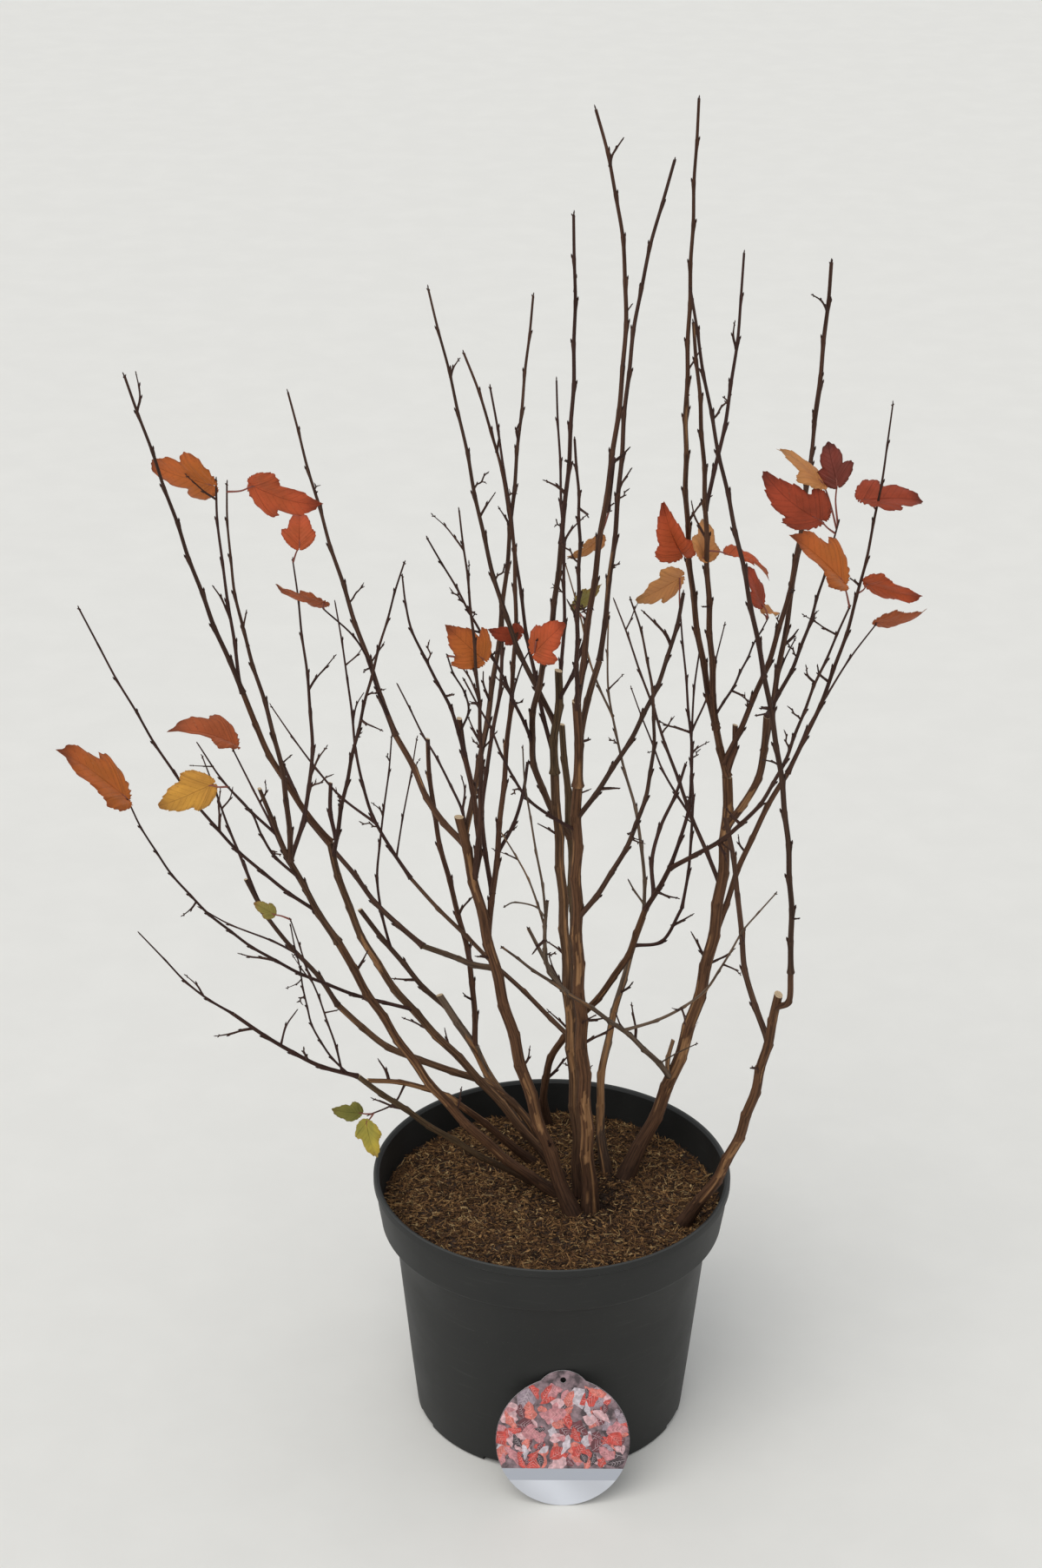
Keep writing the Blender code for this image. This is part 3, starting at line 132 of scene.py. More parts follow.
sprays = {
    "spray_low_left": {
        "low_stem": Limb("cane_left_low", 1.0, (-238, -70, 388), (-3, -6), (1.7, 1.4), (-2, 0)),
        "low_end": Limb("low_stem", 1.0, (-300, -100, 471), (-1, -6), (1.0, 0.5), (-1, 0)),
        "low_shoot_a": Limb("low_stem", 0.11, (-191, -100, 483), (1, 1), (0.9, 0.5), (1, 0)),
        "low_shoot_b": Limb("low_stem", 0.07, (-186, -160, 510), (-10, -3), (0.9, 0.5), (-3, 0)),
        "low_hook": Limb("low_stem", 0.59, (-193, -50, 379), (-2, 2), (0.8, 0.5), (-1, 0)),
    },
    "spray_green_leaves": {
        "green_twig": Limb("cane_peeled", 0.82, (-143, 10, 253), (5, -4), (0.9, 0.6), (2, 0)),
    },
    "spray_fan_low": {
        "fan_low_stem": Limb("cane_fan_low", 1.0, (-242, 100, 413), (-1, -3), (2.1, 1.5), (3, 0)),
        "fan_low_whip": Limb("fan_low_stem", 0.83, (-280, 170, 487), (-1, 1), (1.5, 0.5)),
        "fan_low_thin": Limb("fan_low_stem", 0.42, (-284, 140, 367), (2, -2), (1.0, 0.5), (4, 0)),
    },
    "spray_low_long": {
        "low_long": Limb("cane_left_long", 0.54, (-293, -170, 610), (-30, -22), (1.5, 0.6)),
    },
    "spray_fan_mid": {
        "fan_mid_stem": Limb("cane_fan_mid", 1.0, (-211, -90, 582), (-4, -1), (2.7, 1.4)),
        "far_left": Limb("fan_mid_stem", 0.21, (-322, -150, 743), (-15, -15), (1.4, 0.6), (-3, 0)),
        "curled_leaf_wand": Limb("fan_mid_stem", 0.13, (-240, 20, 562), (0, -5), (1.5, 0.6), (-1, 0)),
        "yellow_leaf_wand": Limb("fan_mid_stem", 0.43, (-228, -140, 607), (-2, -1), (1.2, 0.6), (-4, 0)),
        "left_thin": Limb("fan_mid_stem", 0.70, (-252, -100, 621), (-3, -3), (1.2, 0.5)),
        "left_pair_front": Limb("fan_mid_stem", 0.55, (-221, -140, 828), (-1, -2), (2.2, 0.6), (6, -1)),
        "left_inner": Limb("fan_mid_stem", 0.55, (-198, 100, 682), (14, -3), (1.8, 0.6), (3, 0)),
    },
    "spray_left_long": {
        "left_long": Limb("bough_left_long", 1.0, (-301, -20, 863), (-2, -1), (1.9, 0.9), (-1, 0)),
        "left_pair_back": Limb("left_long", 0.03, (-251, 80, 752), (-2, 0), (1.4, 0.8), (1, 0)),
    },
    "spray_left_middle": {
        "left_middle": Limb("cane_left_long", 0.965, (-107, -80, 750), (-4, 0), (1.8, 0.6)),
        "left_stub": Limb("left_middle", 0.06, (-170, 50, 521), (-2, -1), (1.6, 1.5), (-2, 0)),
    },
    "spray_bend": {
        "bend_stem": Limb("bough_bend", 1.0, (-196, 160, 436), (-1, -5), (2.2, 1.8), (-2, 0)),
        "bend_end": Limb("bend_stem", 1.0, (-222, 200, 476), (1, -2), (1.6, 1.4), (2, 0)),
    },
    "spray_red_low": {
        "red_low": Limb("cane_old", 0.91, (-155, 140, 366), (-1, -4), (2.2, 2.0), (-1, 0)),
        "red_low_whip": Limb("red_low", 0.63, (-128, 150, 514), (-9, 1), (1.2, 0.6), (-3, 0)),
    },
    "spray_red_upright": {
        "red_upright": Limb("cane_old", 0.65, (-100, 160, 508), (2, -2), (2.4, 1.8), (5, 0)),
    },
    "spray_arch": {
        "arch_whip": Limb("bough_arch", 1.0, (-206, 200, 780), (-4, -1), (2.2, 0.8)),
        "arch_leaf_wand": Limb("arch_whip", 0.06, (-172, 50, 662), (9, 1), (1.1, 0.6), (-3, 0)),
    },
    "spray_back_left": {
        "back_left_whip": Limb("bough_back_left", 1.0, (-176, 240, 591), (-14, -7), (1.6, 0.6), (-5, 0)),
        "back_left_thin": Limb("back_left_whip", 0.09, (-110, 200, 490), (0, 0), (0.8, 0.5)),
        "back_left_side": Limb("back_left_whip", 0.22, (-230, 240, 500), (-7, -3), (1.2, 0.5), (-2, 0)),
    },
    "spray_upright_stub": {
        "upright_stub": Limb("cane_left_upright", 0.84, (-71, -20, 606), (6, -1), (2.2, 2.0), (2, 0)),
        "front_left": Limb("upright_stub", 0.04, (-68, -140, 810), (8, 2), (2.0, 0.6), (1, 0)),
        "left_cross": Limb("upright_stub", 0.78, (-107, -120, 756), (-3, 0), (1.5, 0.6), (4, 0)),
        "middle_leaf_twig": Limb("upright_stub", 0.93, (-78, -80, 681), (7, 1), (0.9, 0.6), (3, 0)),
    },
    "spray_upright_whip": {
        "upright_whip": Limb("cane_left_upright", 0.95, (-19, 200, 857), (6, 0), (2.4, 0.9), (2, 0)),
    },
    "spray_inner_left": {
        "inner_left": Limb("cane_left_upright", 0.89, (-125, 200, 537), (9, -1), (1.3, 0.6), (3, 0)),
    },
    "spray_back_whip": {
        "back_whip": Limb("cane_left_upright", 0.7, (-70, 120, 837), (29, 4), (2.4, 0.9), (-6, 0)),
        "back_leaf_twig": Limb("back_whip", 0.41, (-15, -20, 668), (-3, 1), (0.8, 0.5)),
        "back_cross": Limb("back_whip", 0.15, (-21, 90, 520), (5, 0), (1.5, 1.2)),
        "upright_side": Limb("back_whip", 0.08, (-41, 150, 620), (-6, 1), (1.9, 1.3), (-5, 0)),
    },
    "spray_middle": {
        "middle_stem": Limb("cane_mid_back", 0.755, (1, -50, 753), (-22, -1), (2.6, 1.9), (-8, 0)),
        "middle_side": Limb("middle_stem", 0.35, (-90, -120, 783), (3, 1), (1.4, 0.6)),
        "middle_whip": Limb("middle_stem", 1.0, (6, -90, 996), (4, 0), (1.7, 1.0)),
    },
    "spray_mid_left": {
        "mid_left_stem": Limb("cane_mid_left", 1.0, (1, 20, 627), (0, 0), (3.2, 2.9), (-1, 0)),
        "mid_left_whip": Limb("mid_left_stem", 0.47, (-95, 100, 891), (-10, -4), (2.1, 0.8), (-4, -2)),
        "mid_left_back": Limb("mid_left_stem", 0.15, (-51, 160, 798), (-3, -1), (1.7, 0.8), (-2, 0)),
        "mid_left_up": Limb("mid_left_stem", 0.70, (-2, 90, 826), (4, 0), (1.5, 0.7), (1, 0)),
        "olive_leaf_twig": Limb("mid_left_stem", 0.72, (21, -20, 676), (2, 0), (1.5, 1.0), (1, 0)),
    },
    "spray_mid_right": {
        "mid_right_stem": Limb("cane_mid_right", 1.0, (13, -50, 633), (2, 0), (3.5, 3.2)),
        "mid_right_whip": Limb("mid_right_stem", 0.96, (23, 70, 1028), (23, 1), (2.4, 1.1), (-6, -1)),
        "mid_front_whip": Limb("mid_right_stem", 0.90, (6, -240, 894), (2, 2), (1.9, 0.8), (-1, 0)),
        "tan_leaf_twig": Limb("mid_right_whip", 0.38, (35, 0, 758), (3, 28), (1.2, 1.0)),
    },
    "spray_mid_side": {
        "mid_side_whip": Limb("bough_mid_side", 1.0, (85, 200, 961), (-9, -2), (2.1, 1.2), (4, 0)),
    },
    "spray_front_middle": {
        "front_middle": Limb("cane_mid_right", 0.925, (83, -120, 744), (12, -2), (2.0, 1.3), (0, 1)),
    },
    "spray_cross_thin": {
        "cross_thin": Limb("cane_mid_right", 0.90, (-65, -150, 693), (-11, -6), (1.3, 0.6), (-4, -2)),
    },
    "spray_front_bowed": {
        "front_bowed": Limb("cane_mid_right", 0.70, (45, -180, 764), (34, -2), (2.2, 0.6), (1, 0)),
    },
    "spray_grey": {
        "grey_whip": Limb("cane_grey", 1.0, (43, 220, 592), (-1, -5), (1.6, 0.6), (6, 0)),
        "grey_thin": Limb("grey_whip", 0.66, (7, 160, 657), (-3, -1), (1.0, 0.5), (-2, 0)),
        "grey_dead": Limb("grey_whip", 0.04, (59, 100, 414), (-1, 1), (0.9, 0.6), (-1, 0)),
    },
    "spray_red_right": {
        "red_right_stem": Limb("cane_red_right", 1.0, (87, 20, 466), (1, 1), (2.0, 1.9), (1, 0)),
        "red_right_up": Limb("red_right_stem", 1.0, (86, -30, 697), (12, -2), (1.6, 0.6), (3, 0)),
        "red_right_side": Limb("red_right_stem", 0.32, (101, 100, 515), (-7, 2), (1.7, 1.1), (-3, 0)),
        "red_right_long": Limb("red_right_stem", 0.98, (189, -180, 759), (23, -10), (1.9, 0.7), (7, -3)),
    },
    "spray_hook": {
        "hook_low": Limb("cane_grey", 0.88, (101, 90, 395), (4, -12), (1.4, 1.3), (-1, 0)),
        "hook_up": Limb("hook_low", 1.0, (115, 200, 567), (1, 0), (1.3, 0.7), (3, 0)),
        "hook_twig": Limb("hook_up", 0.69, (133, 180, 599), (3, 0), (0.9, 0.5), (1, 0)),
    },
    "spray_back_right": {
        "back_right": Limb("cane_right", 0.74, (47, 220, 603), (-1, -2), (1.8, 0.6), (-1, 0)),
        "back_right_side": Limb("back_right", 0.24, (63, 240, 518), (-3, -4), (1.1, 0.5), (-1, 0)),
    },
    "spray_right_top": {
        "right_stem": Limb("cane_right", 1.0, (121, 90, 559), (0, -1), (3.0, 2.7), (-2, 0)),
        "tallest_whip": Limb("right_stem", 0.81, (92, 30, 1045), (-16, -3), (2.6, 1.0), (-3, 0)),
        "right_pair_whip": Limb("right_stem", 0.88, (90, -20, 903), (1, -1), (2.6, 1.2), (-1, 0)),
        "right_pair_side": Limb("right_pair_whip", 0.56, (133, 120, 913), (5, -1), (1.6, 0.9)),
        "right_twin_left": Limb("right_stem", 0.23, (189, 50, 926), (20, 1), (2.3, 1.0), (4, 0)),
        "right_inner": Limb("right_stem", 1.0, (147, -50, 698), (3, 4), (1.1, 0.5), (1, 0)),
        "right_fork_stub": Limb("right_stem", 0.05, (137, 85, 555), (2, 0), (2.4, 2.1), (1, 0)),
    },
    "spray_right_twin": {
        "right_twin": Limb("bough_right_fork", 0.71, (205, 200, 884), (5, 1), (2.3, 1.0)),
        "right_twin_twig": Limb("right_twin", 0.14, (181, 100, 620), (-1, 0), (0.8, 0.5)),
    },
    "spray_right_leafy": {
        "right_leafy": Limb("bough_right_fork", 1.0, (190, -80, 782), (6, 0), (1.7, 0.6), (1, 0)),
        "right_leafy_side": Limb("right_leafy", 0.04, (143, -30, 614), (6, 0), (1.2, 0.6)),
    },
    "spray_far_right": {
        "far_right": Limb("bough_far_right", 1.0, (247, 120, 800), (14, -2), (1.9, 0.6), (1, 0)),
        "far_right_low": Limb("far_right", 0.02, (253, 190, 596), (-5, 1), (1.2, 0.6)),
    },
    "spray_cross_right": {
        "cross_right": Limb("cane_front_right", 0.81, (128, 30, 503), (-4, -3), (2.4, 1.8), (-3, 0)),
    },
    "spray_front_right": {
        "front_right": Limb("bough_front_loop", 1.0, (134, -190, 713), (6, 1), (2.1, 1.8)),
        "front_right_whip": Limb("front_right", 1.0, (75, -240, 991), (-1, -1), (1.8, 0.9), (1, 0)),
    },
    "spray_dead": {
        "dead_cross": Limb("cane_right", 0.26, (-39, -114, 469), (0, 7), (2.4, 0.8), (4, 0)),
        "dead_stub_a": Limb("dead_cross", 0.66, (-20, -80, 466), (0, -2), (1.7, 1.3), (1, 0)),
        "dead_stub_b": Limb("dead_cross", 0.64, (-7, -120, 509), (-9, -1), (1.7, 1.3), (-2, 0)),
        "dead_thin_a": Limb("dead_stub_b", 0.73, (-40, -160, 584), (3, 2), (0.9, 0.5)),
        "dead_thin_b": Limb("dead_stub_b", 0.85, (-25, -140, 638), (-1, 0), (1.0, 0.5), (1, 0)),
        "dead_arc": Limb("dead_stub_b", 0.83, (-37, -180, 536), (0, 7), (0.7, 0.5), (3, 0)),
        "dead_right": Limb("dead_cross", 0.34, (154, -130, 522), (17, -5), (1.3, 0.5), (7, -3)),
        "dead_low": Limb("dead_cross", 0.10, (109, -20, 336), (-1, 0), (0.7, 0.4), (-2, 0)),
        "dead_stub_right": Limb("dead_cross", 0.03, (95, 50, 299), (-1, 0), (1.8, 1.6)),
    },
}

# Eight of these leaves are rolled more to the front than the solids' leaves are.
leaves = [
    Leaf("left_pair_back", 0.98, (-4, 0, -1), (-49, 20, 6), 54, 0.05, 0.05, "orange"),
    Leaf("left_pair_front", 0.98, (18, 0, 4), (38, -20, -13), -51, 0.22, 0.2, "redOrange"),
    Leaf("left_inner", 0.99, (5, 0, 13), (0, 15, 26), -4, 0.55, 0.22, "redOrange"),
    Leaf("arch_leaf_wand", 1.0, (0, 0, 6), (-37, 10, 3), 78, 0.1, 0.22, "rust"),
    Leaf("curled_leaf_wand", 1.0, (0, 0, 4), (-37, -10, 27), -64, 0.23, 0.53, "rust"),
    Leaf("low_long", 1.0, (-3, 0, 4), (-36, -20, 45), -65, 0.05, 0.25, "orange"),
    Leaf("yellow_leaf_wand", 1.0, (-12, 0, 1), (-35, -10, -13), 30, 0.05, 0.05, "yellow"),
    Leaf("low_shoot_a", 1.0, (-12, 0, 4), (-13, 0, 10), -25, 0.15, 0.2, "olive"),
    Leaf("green_twig", 0.96, (-9, 0, 1), (-20, -10, 7), 30, 0.1, 0.2, "green"),
    Leaf("green_twig", 0.90, (-6, 0, -9), (5, -10, -28), -35, 0.15, 0.25, "greenYellow"),
    Leaf("middle_leaf_twig", 0.99, (25, 0, -3), (-18, -20, 27), 1, 0.23, 0.05, "orange"),
    Leaf("back_whip", 0.54, (3, 0, -8), (-19, -15, 4), 46, 0.26, 0.14, "red"),
    Leaf("back_leaf_twig", 0.98, (-1, 0, -9), (19, -16, 29), 26, 0.05, 0.11, "redOrange"),
    Leaf("olive_leaf_twig", 0.99, (-10, 8, 16), (22, 14, 9), -61, 0.06, 0.18, "olive"),
    Leaf("tan_leaf_twig", 1.0, (-6, 0, -19), (-18, 0, -22), 62, 0.24, 0.24, "ochre"),
    Leaf("tallest_whip", 0.31, (-5, 0, -2), (-16, -15, 30), 32, 0.41, 0.68, "redOrange"),
    Leaf("right_pair_whip", 0.44, (-3, 0, 1), (7, 20, 24), -35, 0.25, 0.35, "ochre"),
    Leaf("right_pair_whip", 0.46, (16, 0, -3), (34, 10, -8), 65, 0.29, 0.42, "redOrange"),
    Leaf("red_right_up", 1.0, (-1, 0, 23), (-30, -20, -11), 53, 0.05, 0.19, "ochre"),
    Leaf("right_inner", 1.0, (-5, 0, 11), (-9, 0, 29), -57, 0.1, 0.08, "red"),
    Leaf("right_inner", 0.98, (-3, 0, 5), (12, 15, -3), 42, 0.2, 0.67, "ochre"),
    Leaf("right_leafy", 0.96, (-11, 0, 33), (-27, 10, 26), -60, 0.1, 0.05, "ochre"),
    Leaf("right_leafy", 0.98, (-2, 0, 30), (-7, 15, 25), 25, 0.05, 0.05, "darkRed"),
    Leaf("right_leafy", 0.94, (-11, 0, 10), (-36, -20, 22), 45, 0.4, 0.05, "red"),
    Leaf("red_right_long", 1.0, (-6, 0, 19), (-32, -10, 36), -50, 0.05, 0.41, "orange"),
    Leaf("far_right", 0.73, (-10, 0, 8), (48, 20, -4), 50, 0.05, 0.27, "red"),
    Leaf("far_right", 0.51, (8, 0, 8), (37, -20, -6), -68, 0.05, 0.07, "redOrange"),
    Leaf("far_right_low", 1.0, (1, 0, 1), (38, 0, -3), -72, 0.29, 0.05, "rust"),
]

# Fine side twigs that only the dressed plant has. They leave the limbs at seeded places, lean along
# them, and stay within the reach of the node that carries them.
twigRule = {
    "seed": 31,
    "every": 80 * mm,
    "share": 0.55,
    "span": (0.15, 0.92),
    "length": (12 * mm, 32 * mm),
    "lean": (0.5, 1.1),
    "bow": 2.5,
    "thick": (0.8, 1.2),
    "ofCarrier": 0.8,
    "taper": 0.5,
    "margin": 5 * mm,
}


def unit(vector):
    return vector / (np.linalg.norm(vector) or 1)


def limbLine(start, tip, bow, swing, spacing):
    start = np.array(start)
    tip = np.array(tip, float) * mm
    bow = np.array((bow[0], 0, bow[1])) * mm
    swing = np.array((swing[0], 0, swing[1])) * mm
    count = max(2, round(np.linalg.norm(tip - start) / spacing))
    along = np.linspace(0, 1, count + 1)[:, None]
    return (
        start + (tip - start) * along + bow * 4 * along * (1 - along)
        + swing * np.sin(2 * math.pi * along)
    )


def reachAlong(line):
    return np.concatenate([[0], np.cumsum(np.linalg.norm(np.diff(line, axis=0), axis=1))])


def pointOn(line, share):
    reach = reachAlong(line)
    return np.array([np.interp(share * reach[-1], reach, line[:, k]) for k in range(3)])


def kinked(line, chance, radii):
    # each bud turns the limb a little, to one side and then the other
    bent = line.copy()
    side = chance.choice((-1, 1))
    for index in range(1, len(line) - 1):
        across = np.cross(line[index + 1] - line[index - 1], (0, 1, 0))
        across /= np.linalg.norm(across) or 1
        size = growth["kink"] * (0.6 + 0.4 * chance.random()) * (1.5 * mm + radii[index])
        bent[index] += side * size * across
        side = -side
    return bent


# Every limb's line and thickness, by its name.
lines = {}
thickness = {}
chance = random.Random(growth["seed"])


def addLine(name, line, radii, luck=chance):
    thick = np.linspace(radii[0], radii[1], len(line)) * mm
    if name in canes:
        thick = thick * (1 + growth["flare"] * np.exp(-reachAlong(line) / growth["flareLength"]))
    lines[name] = kinked(line, luck, thick)
    thickness[name] = thick


def addLimb(name, limb, spacing=growth["wandSpacing"], luck=chance):
    start = pointOn(lines[limb.on], limb.share)
    addLine(name, limbLine(start, limb.tip, limb.bow, limb.swing, spacing), limb.radii, luck)


def layOut():
    for name, cane in canes.items():
        foot = (cane.foot[0] * mm, cane.foot[1] * mm, growth["caneFoot"])
        addLine(name, limbLine(foot, cane.tip, cane.bow, cane.swing, growth["caneSpacing"]), cane.radii)
    for name, limb in boughs.items():
        addLimb(name, limb)
    for limbs in sprays.values():
        for name, limb in limbs.items():
            addLimb(name, limb)


def clearOfOthers(points, radius, ignore):
    for name, line in lines.items():
        if name == ignore:
            continue
        for first, second, thick in zip(line[:-1], line[1:], thickness[name]):
            along = second - first
            for point in points:
                share = np.clip(np.dot(point - first, along) / np.dot(along, along), 0, 1)
                if np.linalg.norm(point - first - share * along) < thick + radius + 2 * mm:
                    return False
    return True


def spursOf(name):
    line = lines[name]
    length = reachAlong(line)[-1]
    for step in range(1, int(length / growth["spurEvery"])):
        share = (step + chance.uniform(-0.3, 0.3)) * growth["spurEvery"] / length
        turn = chance.uniform(0, 2 * math.pi)
        size = chance.uniform(*growth["spurLength"])
        if chance.random() > growth["spurShare"] or share > 0.72 or share < 0.12:
            continue
        foot = pointOn(line, share)
        along = unit(pointOn(line, share + 0.02) - foot)
        across = unit(np.cross(along, (math.cos(turn), math.sin(turn), 0.3)))
        tip = foot + size * unit(0.75 * along + across)
        points = [foot + (tip - foot) * part for part in (0.5, 1.0)]
        if clearOfOthers(points, growth["spurRadius"][0], name):
            yield foot, tip


def twigsOn(name, low, high, luck):
    line = lines[name]
    length = reachAlong(line)[-1]
    first, last = twigRule["span"]
    for step in range(int(length / twigRule["every"]) + 1):
        share = (step + luck.random()) * twigRule["every"] / length
        turn = luck.uniform(0, 2 * math.pi)
        size = luck.uniform(*twigRule["length"])
        lean = luck.uniform(*twigRule["lean"])
        bow = luck.uniform(-1, 1) * twigRule["bow"]
        thick = luck.uniform(*twigRule["thick"])
        if luck.random() > twigRule["share"] or not first < share < last:
            continue
        carrier = np.interp(share, np.linspace(0, 1, len(line)), thickness[name]) / mm
        thick = min(thick, twigRule["ofCarrier"] * carrier)
        foot = pointOn(line, share)
        along = unit(pointOn(line, share + 0.02) - foot)
        across = unit(np.cross(along, (math.cos(turn), math.sin(turn), 0.3)))
        tip = foot + size * unit(lean * along + across)
        margin = twigRule["margin"]
        within = (tip > np.array(low) - margin).all() and (tip < np.array(high) + margin).all()
        points = [foot + (tip - foot) * part for part in (0.5, 1.0)]
        if within and clearOfOthers(points, thick * mm, name):
            yield Limb(name, share, tuple(tip / mm), (bow, 0), (thick, twigRule["taper"] * thick))


def latticeNoise(points, seed=0):
    # smooth noise between 0 and 1, at many points at once
    cell = np.floor(points).astype(np.int64)
    part = points - cell
    part = part * part * (3 - 2 * part)
    total = 0
    for corner in itertools.product((0, 1), repeat=3):
        place = cell + corner
        mixed = place[..., 0] * 73856093 ^ place[..., 1] * 19349663 ^ place[..., 2] * 83492791
        mixed = ((mixed ^ seed * 2654435761) & 0xFFFFFFFF) * 1274126177 & 0xFFFFFFFF
        mixed = (mixed ^ mixed >> 15) * 2246822519 & 0xFFFFFFFF
        value = (mixed >> 8 & 0xFFFF) / 65535
        total = total + value * np.prod(np.where(corner, part, 1 - part), axis=-1)
    return total


class Bag:
    # collects the parts of one joined mesh, with their shading coordinates
    def __init__(self):
        self.verts = []
        self.faces = []
        self.slots = []
        self.grain = []
        self.marks = []
        self.count = 0

    def add(self, verts, faces, slot=0, grain=None, marks=None):
        verts = np.asarray(verts, float).reshape(-1, 3)
        self.verts.append(verts)
        self.grain.append(verts if grain is None else np.asarray(grain, float).reshape(-1, 3))
        blank = np.zeros((len(verts), 3))
        self.marks.append(blank if marks is None else np.asarray(marks, float).reshape(-1, 3))
        self.faces += [[corner + self.count for corner in face] for face in faces]
        self.slots += slot if isinstance(slot, list) else [slot] * len(faces)
        self.count += len(verts)

    def build(self, name, materials, angle=40):
        mesh = bpy.data.meshes.new(name)
        mesh.from_pydata(np.vstack(self.verts).tolist(), [], self.faces)
        mesh.polygons.foreach_set("material_index", self.slots)
        for title, rows in (("grain", self.grain), ("marks", self.marks)):
            layer = mesh.attributes.new(title, "FLOAT_VECTOR", "POINT")
            layer.data.foreach_set("vector", np.vstack(rows).astype(np.float32).ravel())
        for material in materials:
            mesh.materials.append(material)
        mesh.update()
        mesh.shade_smooth()
        mesh.set_sharp_from_angle(angle=math.radians(angle))
        obj = bpy.data.objects.new(name, mesh)
        bpy.context.scene.collection.objects.link(obj)
        return obj


def placePiece(obj, slotName, *nodes):
    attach(obj, "root")
    if nodes:
        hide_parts(*nodes)
    return obj


def gridFaces(rows, columns, closed=True):
    faces = []
    for row in range(rows - 1):
        for column in range(columns if closed else columns - 1):
            after = (column + 1) % columns
            low, high = row * columns, (row + 1) * columns
            faces.append([low + column, low + after, high + after, high + column])
    return faces


def smoothPath(line, radii, step):
    # a curve through the limb's own points, with a ring every step
    ends = np.vstack([2 * line[0] - line[1], line, 2 * line[-1] - line[-2]])
    points, thick = [], []
    for index in range(len(line) - 1):
        a, b, c, d = ends[index:index + 4]
        count = max(2, math.ceil(np.linalg.norm(c - b) / step))
        t = np.linspace(0, 1, count, endpoint=False)[:, None]
        bend = (2 * a - 5 * b + 4 * c - d) * t ** 2 + (3 * b - a - 3 * c + d) * t ** 3
        points.append(0.5 * (2 * b + (c - a) * t + bend))
        thick.append(radii[index] + (radii[index + 1] - radii[index]) * t[:, 0])
    points.append(line[-1:])
    thick.append(radii[-1:])
    return np.vstack(points), np.concatenate(thick)


def ringFrames(path):
    # two directions across the path at each point, without twist
    tangent = np.gradient(path, axis=0)
    tangent /= np.linalg.norm(tangent, axis=1)[:, None]
    normal = np.zeros_like(path)
    current = np.cross(tangent[0], (0.31, 0.94, 0.12))
    for index, direction in enumerate(tangent):
        current = unit(current - np.dot(current, direction) * direction)
        normal[index] = current
    return tangent, normal, np.cross(tangent, normal)


def tubeRings(path, radius, sides):
    tangent, normal, binormal = ringFrames(path)
    angle = np.linspace(0, 2 * math.pi, sides, endpoint=False)
    radius = np.broadcast_to(np.asarray(radius).reshape(len(path), -1), (len(path), sides))[..., None]
    circle = np.cos(angle)[None, :, None] * normal[:, None] + np.sin(angle)[None, :, None] * binormal[:, None]
    return path[:, None] + radius * circle, angle, tangent


def grainOf(path, radius, angle, offset):
    reach = reachAlong(path)
    grain = np.zeros((len(path), len(angle), 3))
    width = np.asarray(radius).reshape(len(path), -1)[:, :1]
    grain[..., 0] = width * np.cos(angle)
    grain[..., 1] = width * np.sin(angle)
    grain[..., 2] = reach[:, None] + offset
    return grain


def addTube(bag, path, radius, sides, slot=0, marks=None, cut=False, cutSlot=1, offset=0.0, slant=0.3):
    rings, angle, tangent = tubeRings(path, radius, sides)
    if cut:
        lean = np.cos(angle)[:, None] * slant * np.asarray(radius).reshape(len(path), -1)[-1, 0]
        rings[-1] += lean * tangent[-1]
    rows = len(path)
    faces = gridFaces(rows, sides)
    grain = grainOf(path, radius, angle, offset)
    marks = np.zeros((rows, sides, 3)) if marks is None else marks
    middle = np.vstack([rings[0].mean(0), rings[-1].mean(0)])
    verts = np.vstack([rings.reshape(-1, 3), middle])
    grain = np.vstack([grain.reshape(-1, 3), grain[0].mean(0), grain[-1].mean(0)])
    marks = np.vstack([marks.reshape(-1, 3), marks[0, 0], marks[-1, 0]])
    first, last = rows * sides, rows * sides + 1
    slots = [slot] * len(faces)
    for side in range(sides):
        after = (side + 1) % sides
        faces.append([after, side, first])
        slots.append(slot)
        faces.append([(rows - 1) * sides + side, (rows - 1) * sides + after, last])
        slots.append(cutSlot if cut else slot)
    bag.add(verts, faces, slots, grain, marks)


woodLook = {
    "caneSides": 24,
    "caneStep": 1.8 * mm,
    "boughSides": 16,
    "wandSides": 9,
    "wandStep": 2.0 * mm,
    "nodeSwell": 0.8 * mm,
    "nodeBelow": 4.5 * mm,
    "nodeAbove": 1.3 * mm,
    "collar": 0.45,
    "collarLength": 3.5 * mm,
    "cutFrom": 1.35 * mm,
    "peelDepth": 0.22 * mm,
    "ridge": 0.20 * mm,
    "fine": 0.07 * mm,
    "sinkFoot": 9 * mm,
    "budLength": 4.6 * mm,
    "budWidth": 0.72 * mm,
}
# Where a cane's bark has come away on the near side: share along it, half the length and the width.
peelSpots = {
    "cane_right": ((0.90, 15 * mm, 0.9), (0.34, 22 * mm, 0.5)),
    "bough_right_fork": ((0.30, 17 * mm, 0.9),),
    "cane_peeled": ((0.70, 30 * mm, 1.6), (0.93, 16 * mm, 1.2)),
    "cane_mid_right": ((0.22, 40 * mm, 0.35), (0.62, 26 * mm, 0.3)),
    "cane_mid_left": ((0.40, 34 * mm, 0.3),),
    "cane_left_upright": ((0.30, 30 * mm, 0.35), (0.86, 24 * mm, 0.4)),
    "cane_grey": ((0.45, 60 * mm, 1.4),),
    "cane_old": ((0.55, 40 * mm, 0.8),),
    "cane_front_right": ((0.35, 26 * mm, 0.35),),
    "cane_left_long": ((0.72, 20 * mm, 0.5),),
}


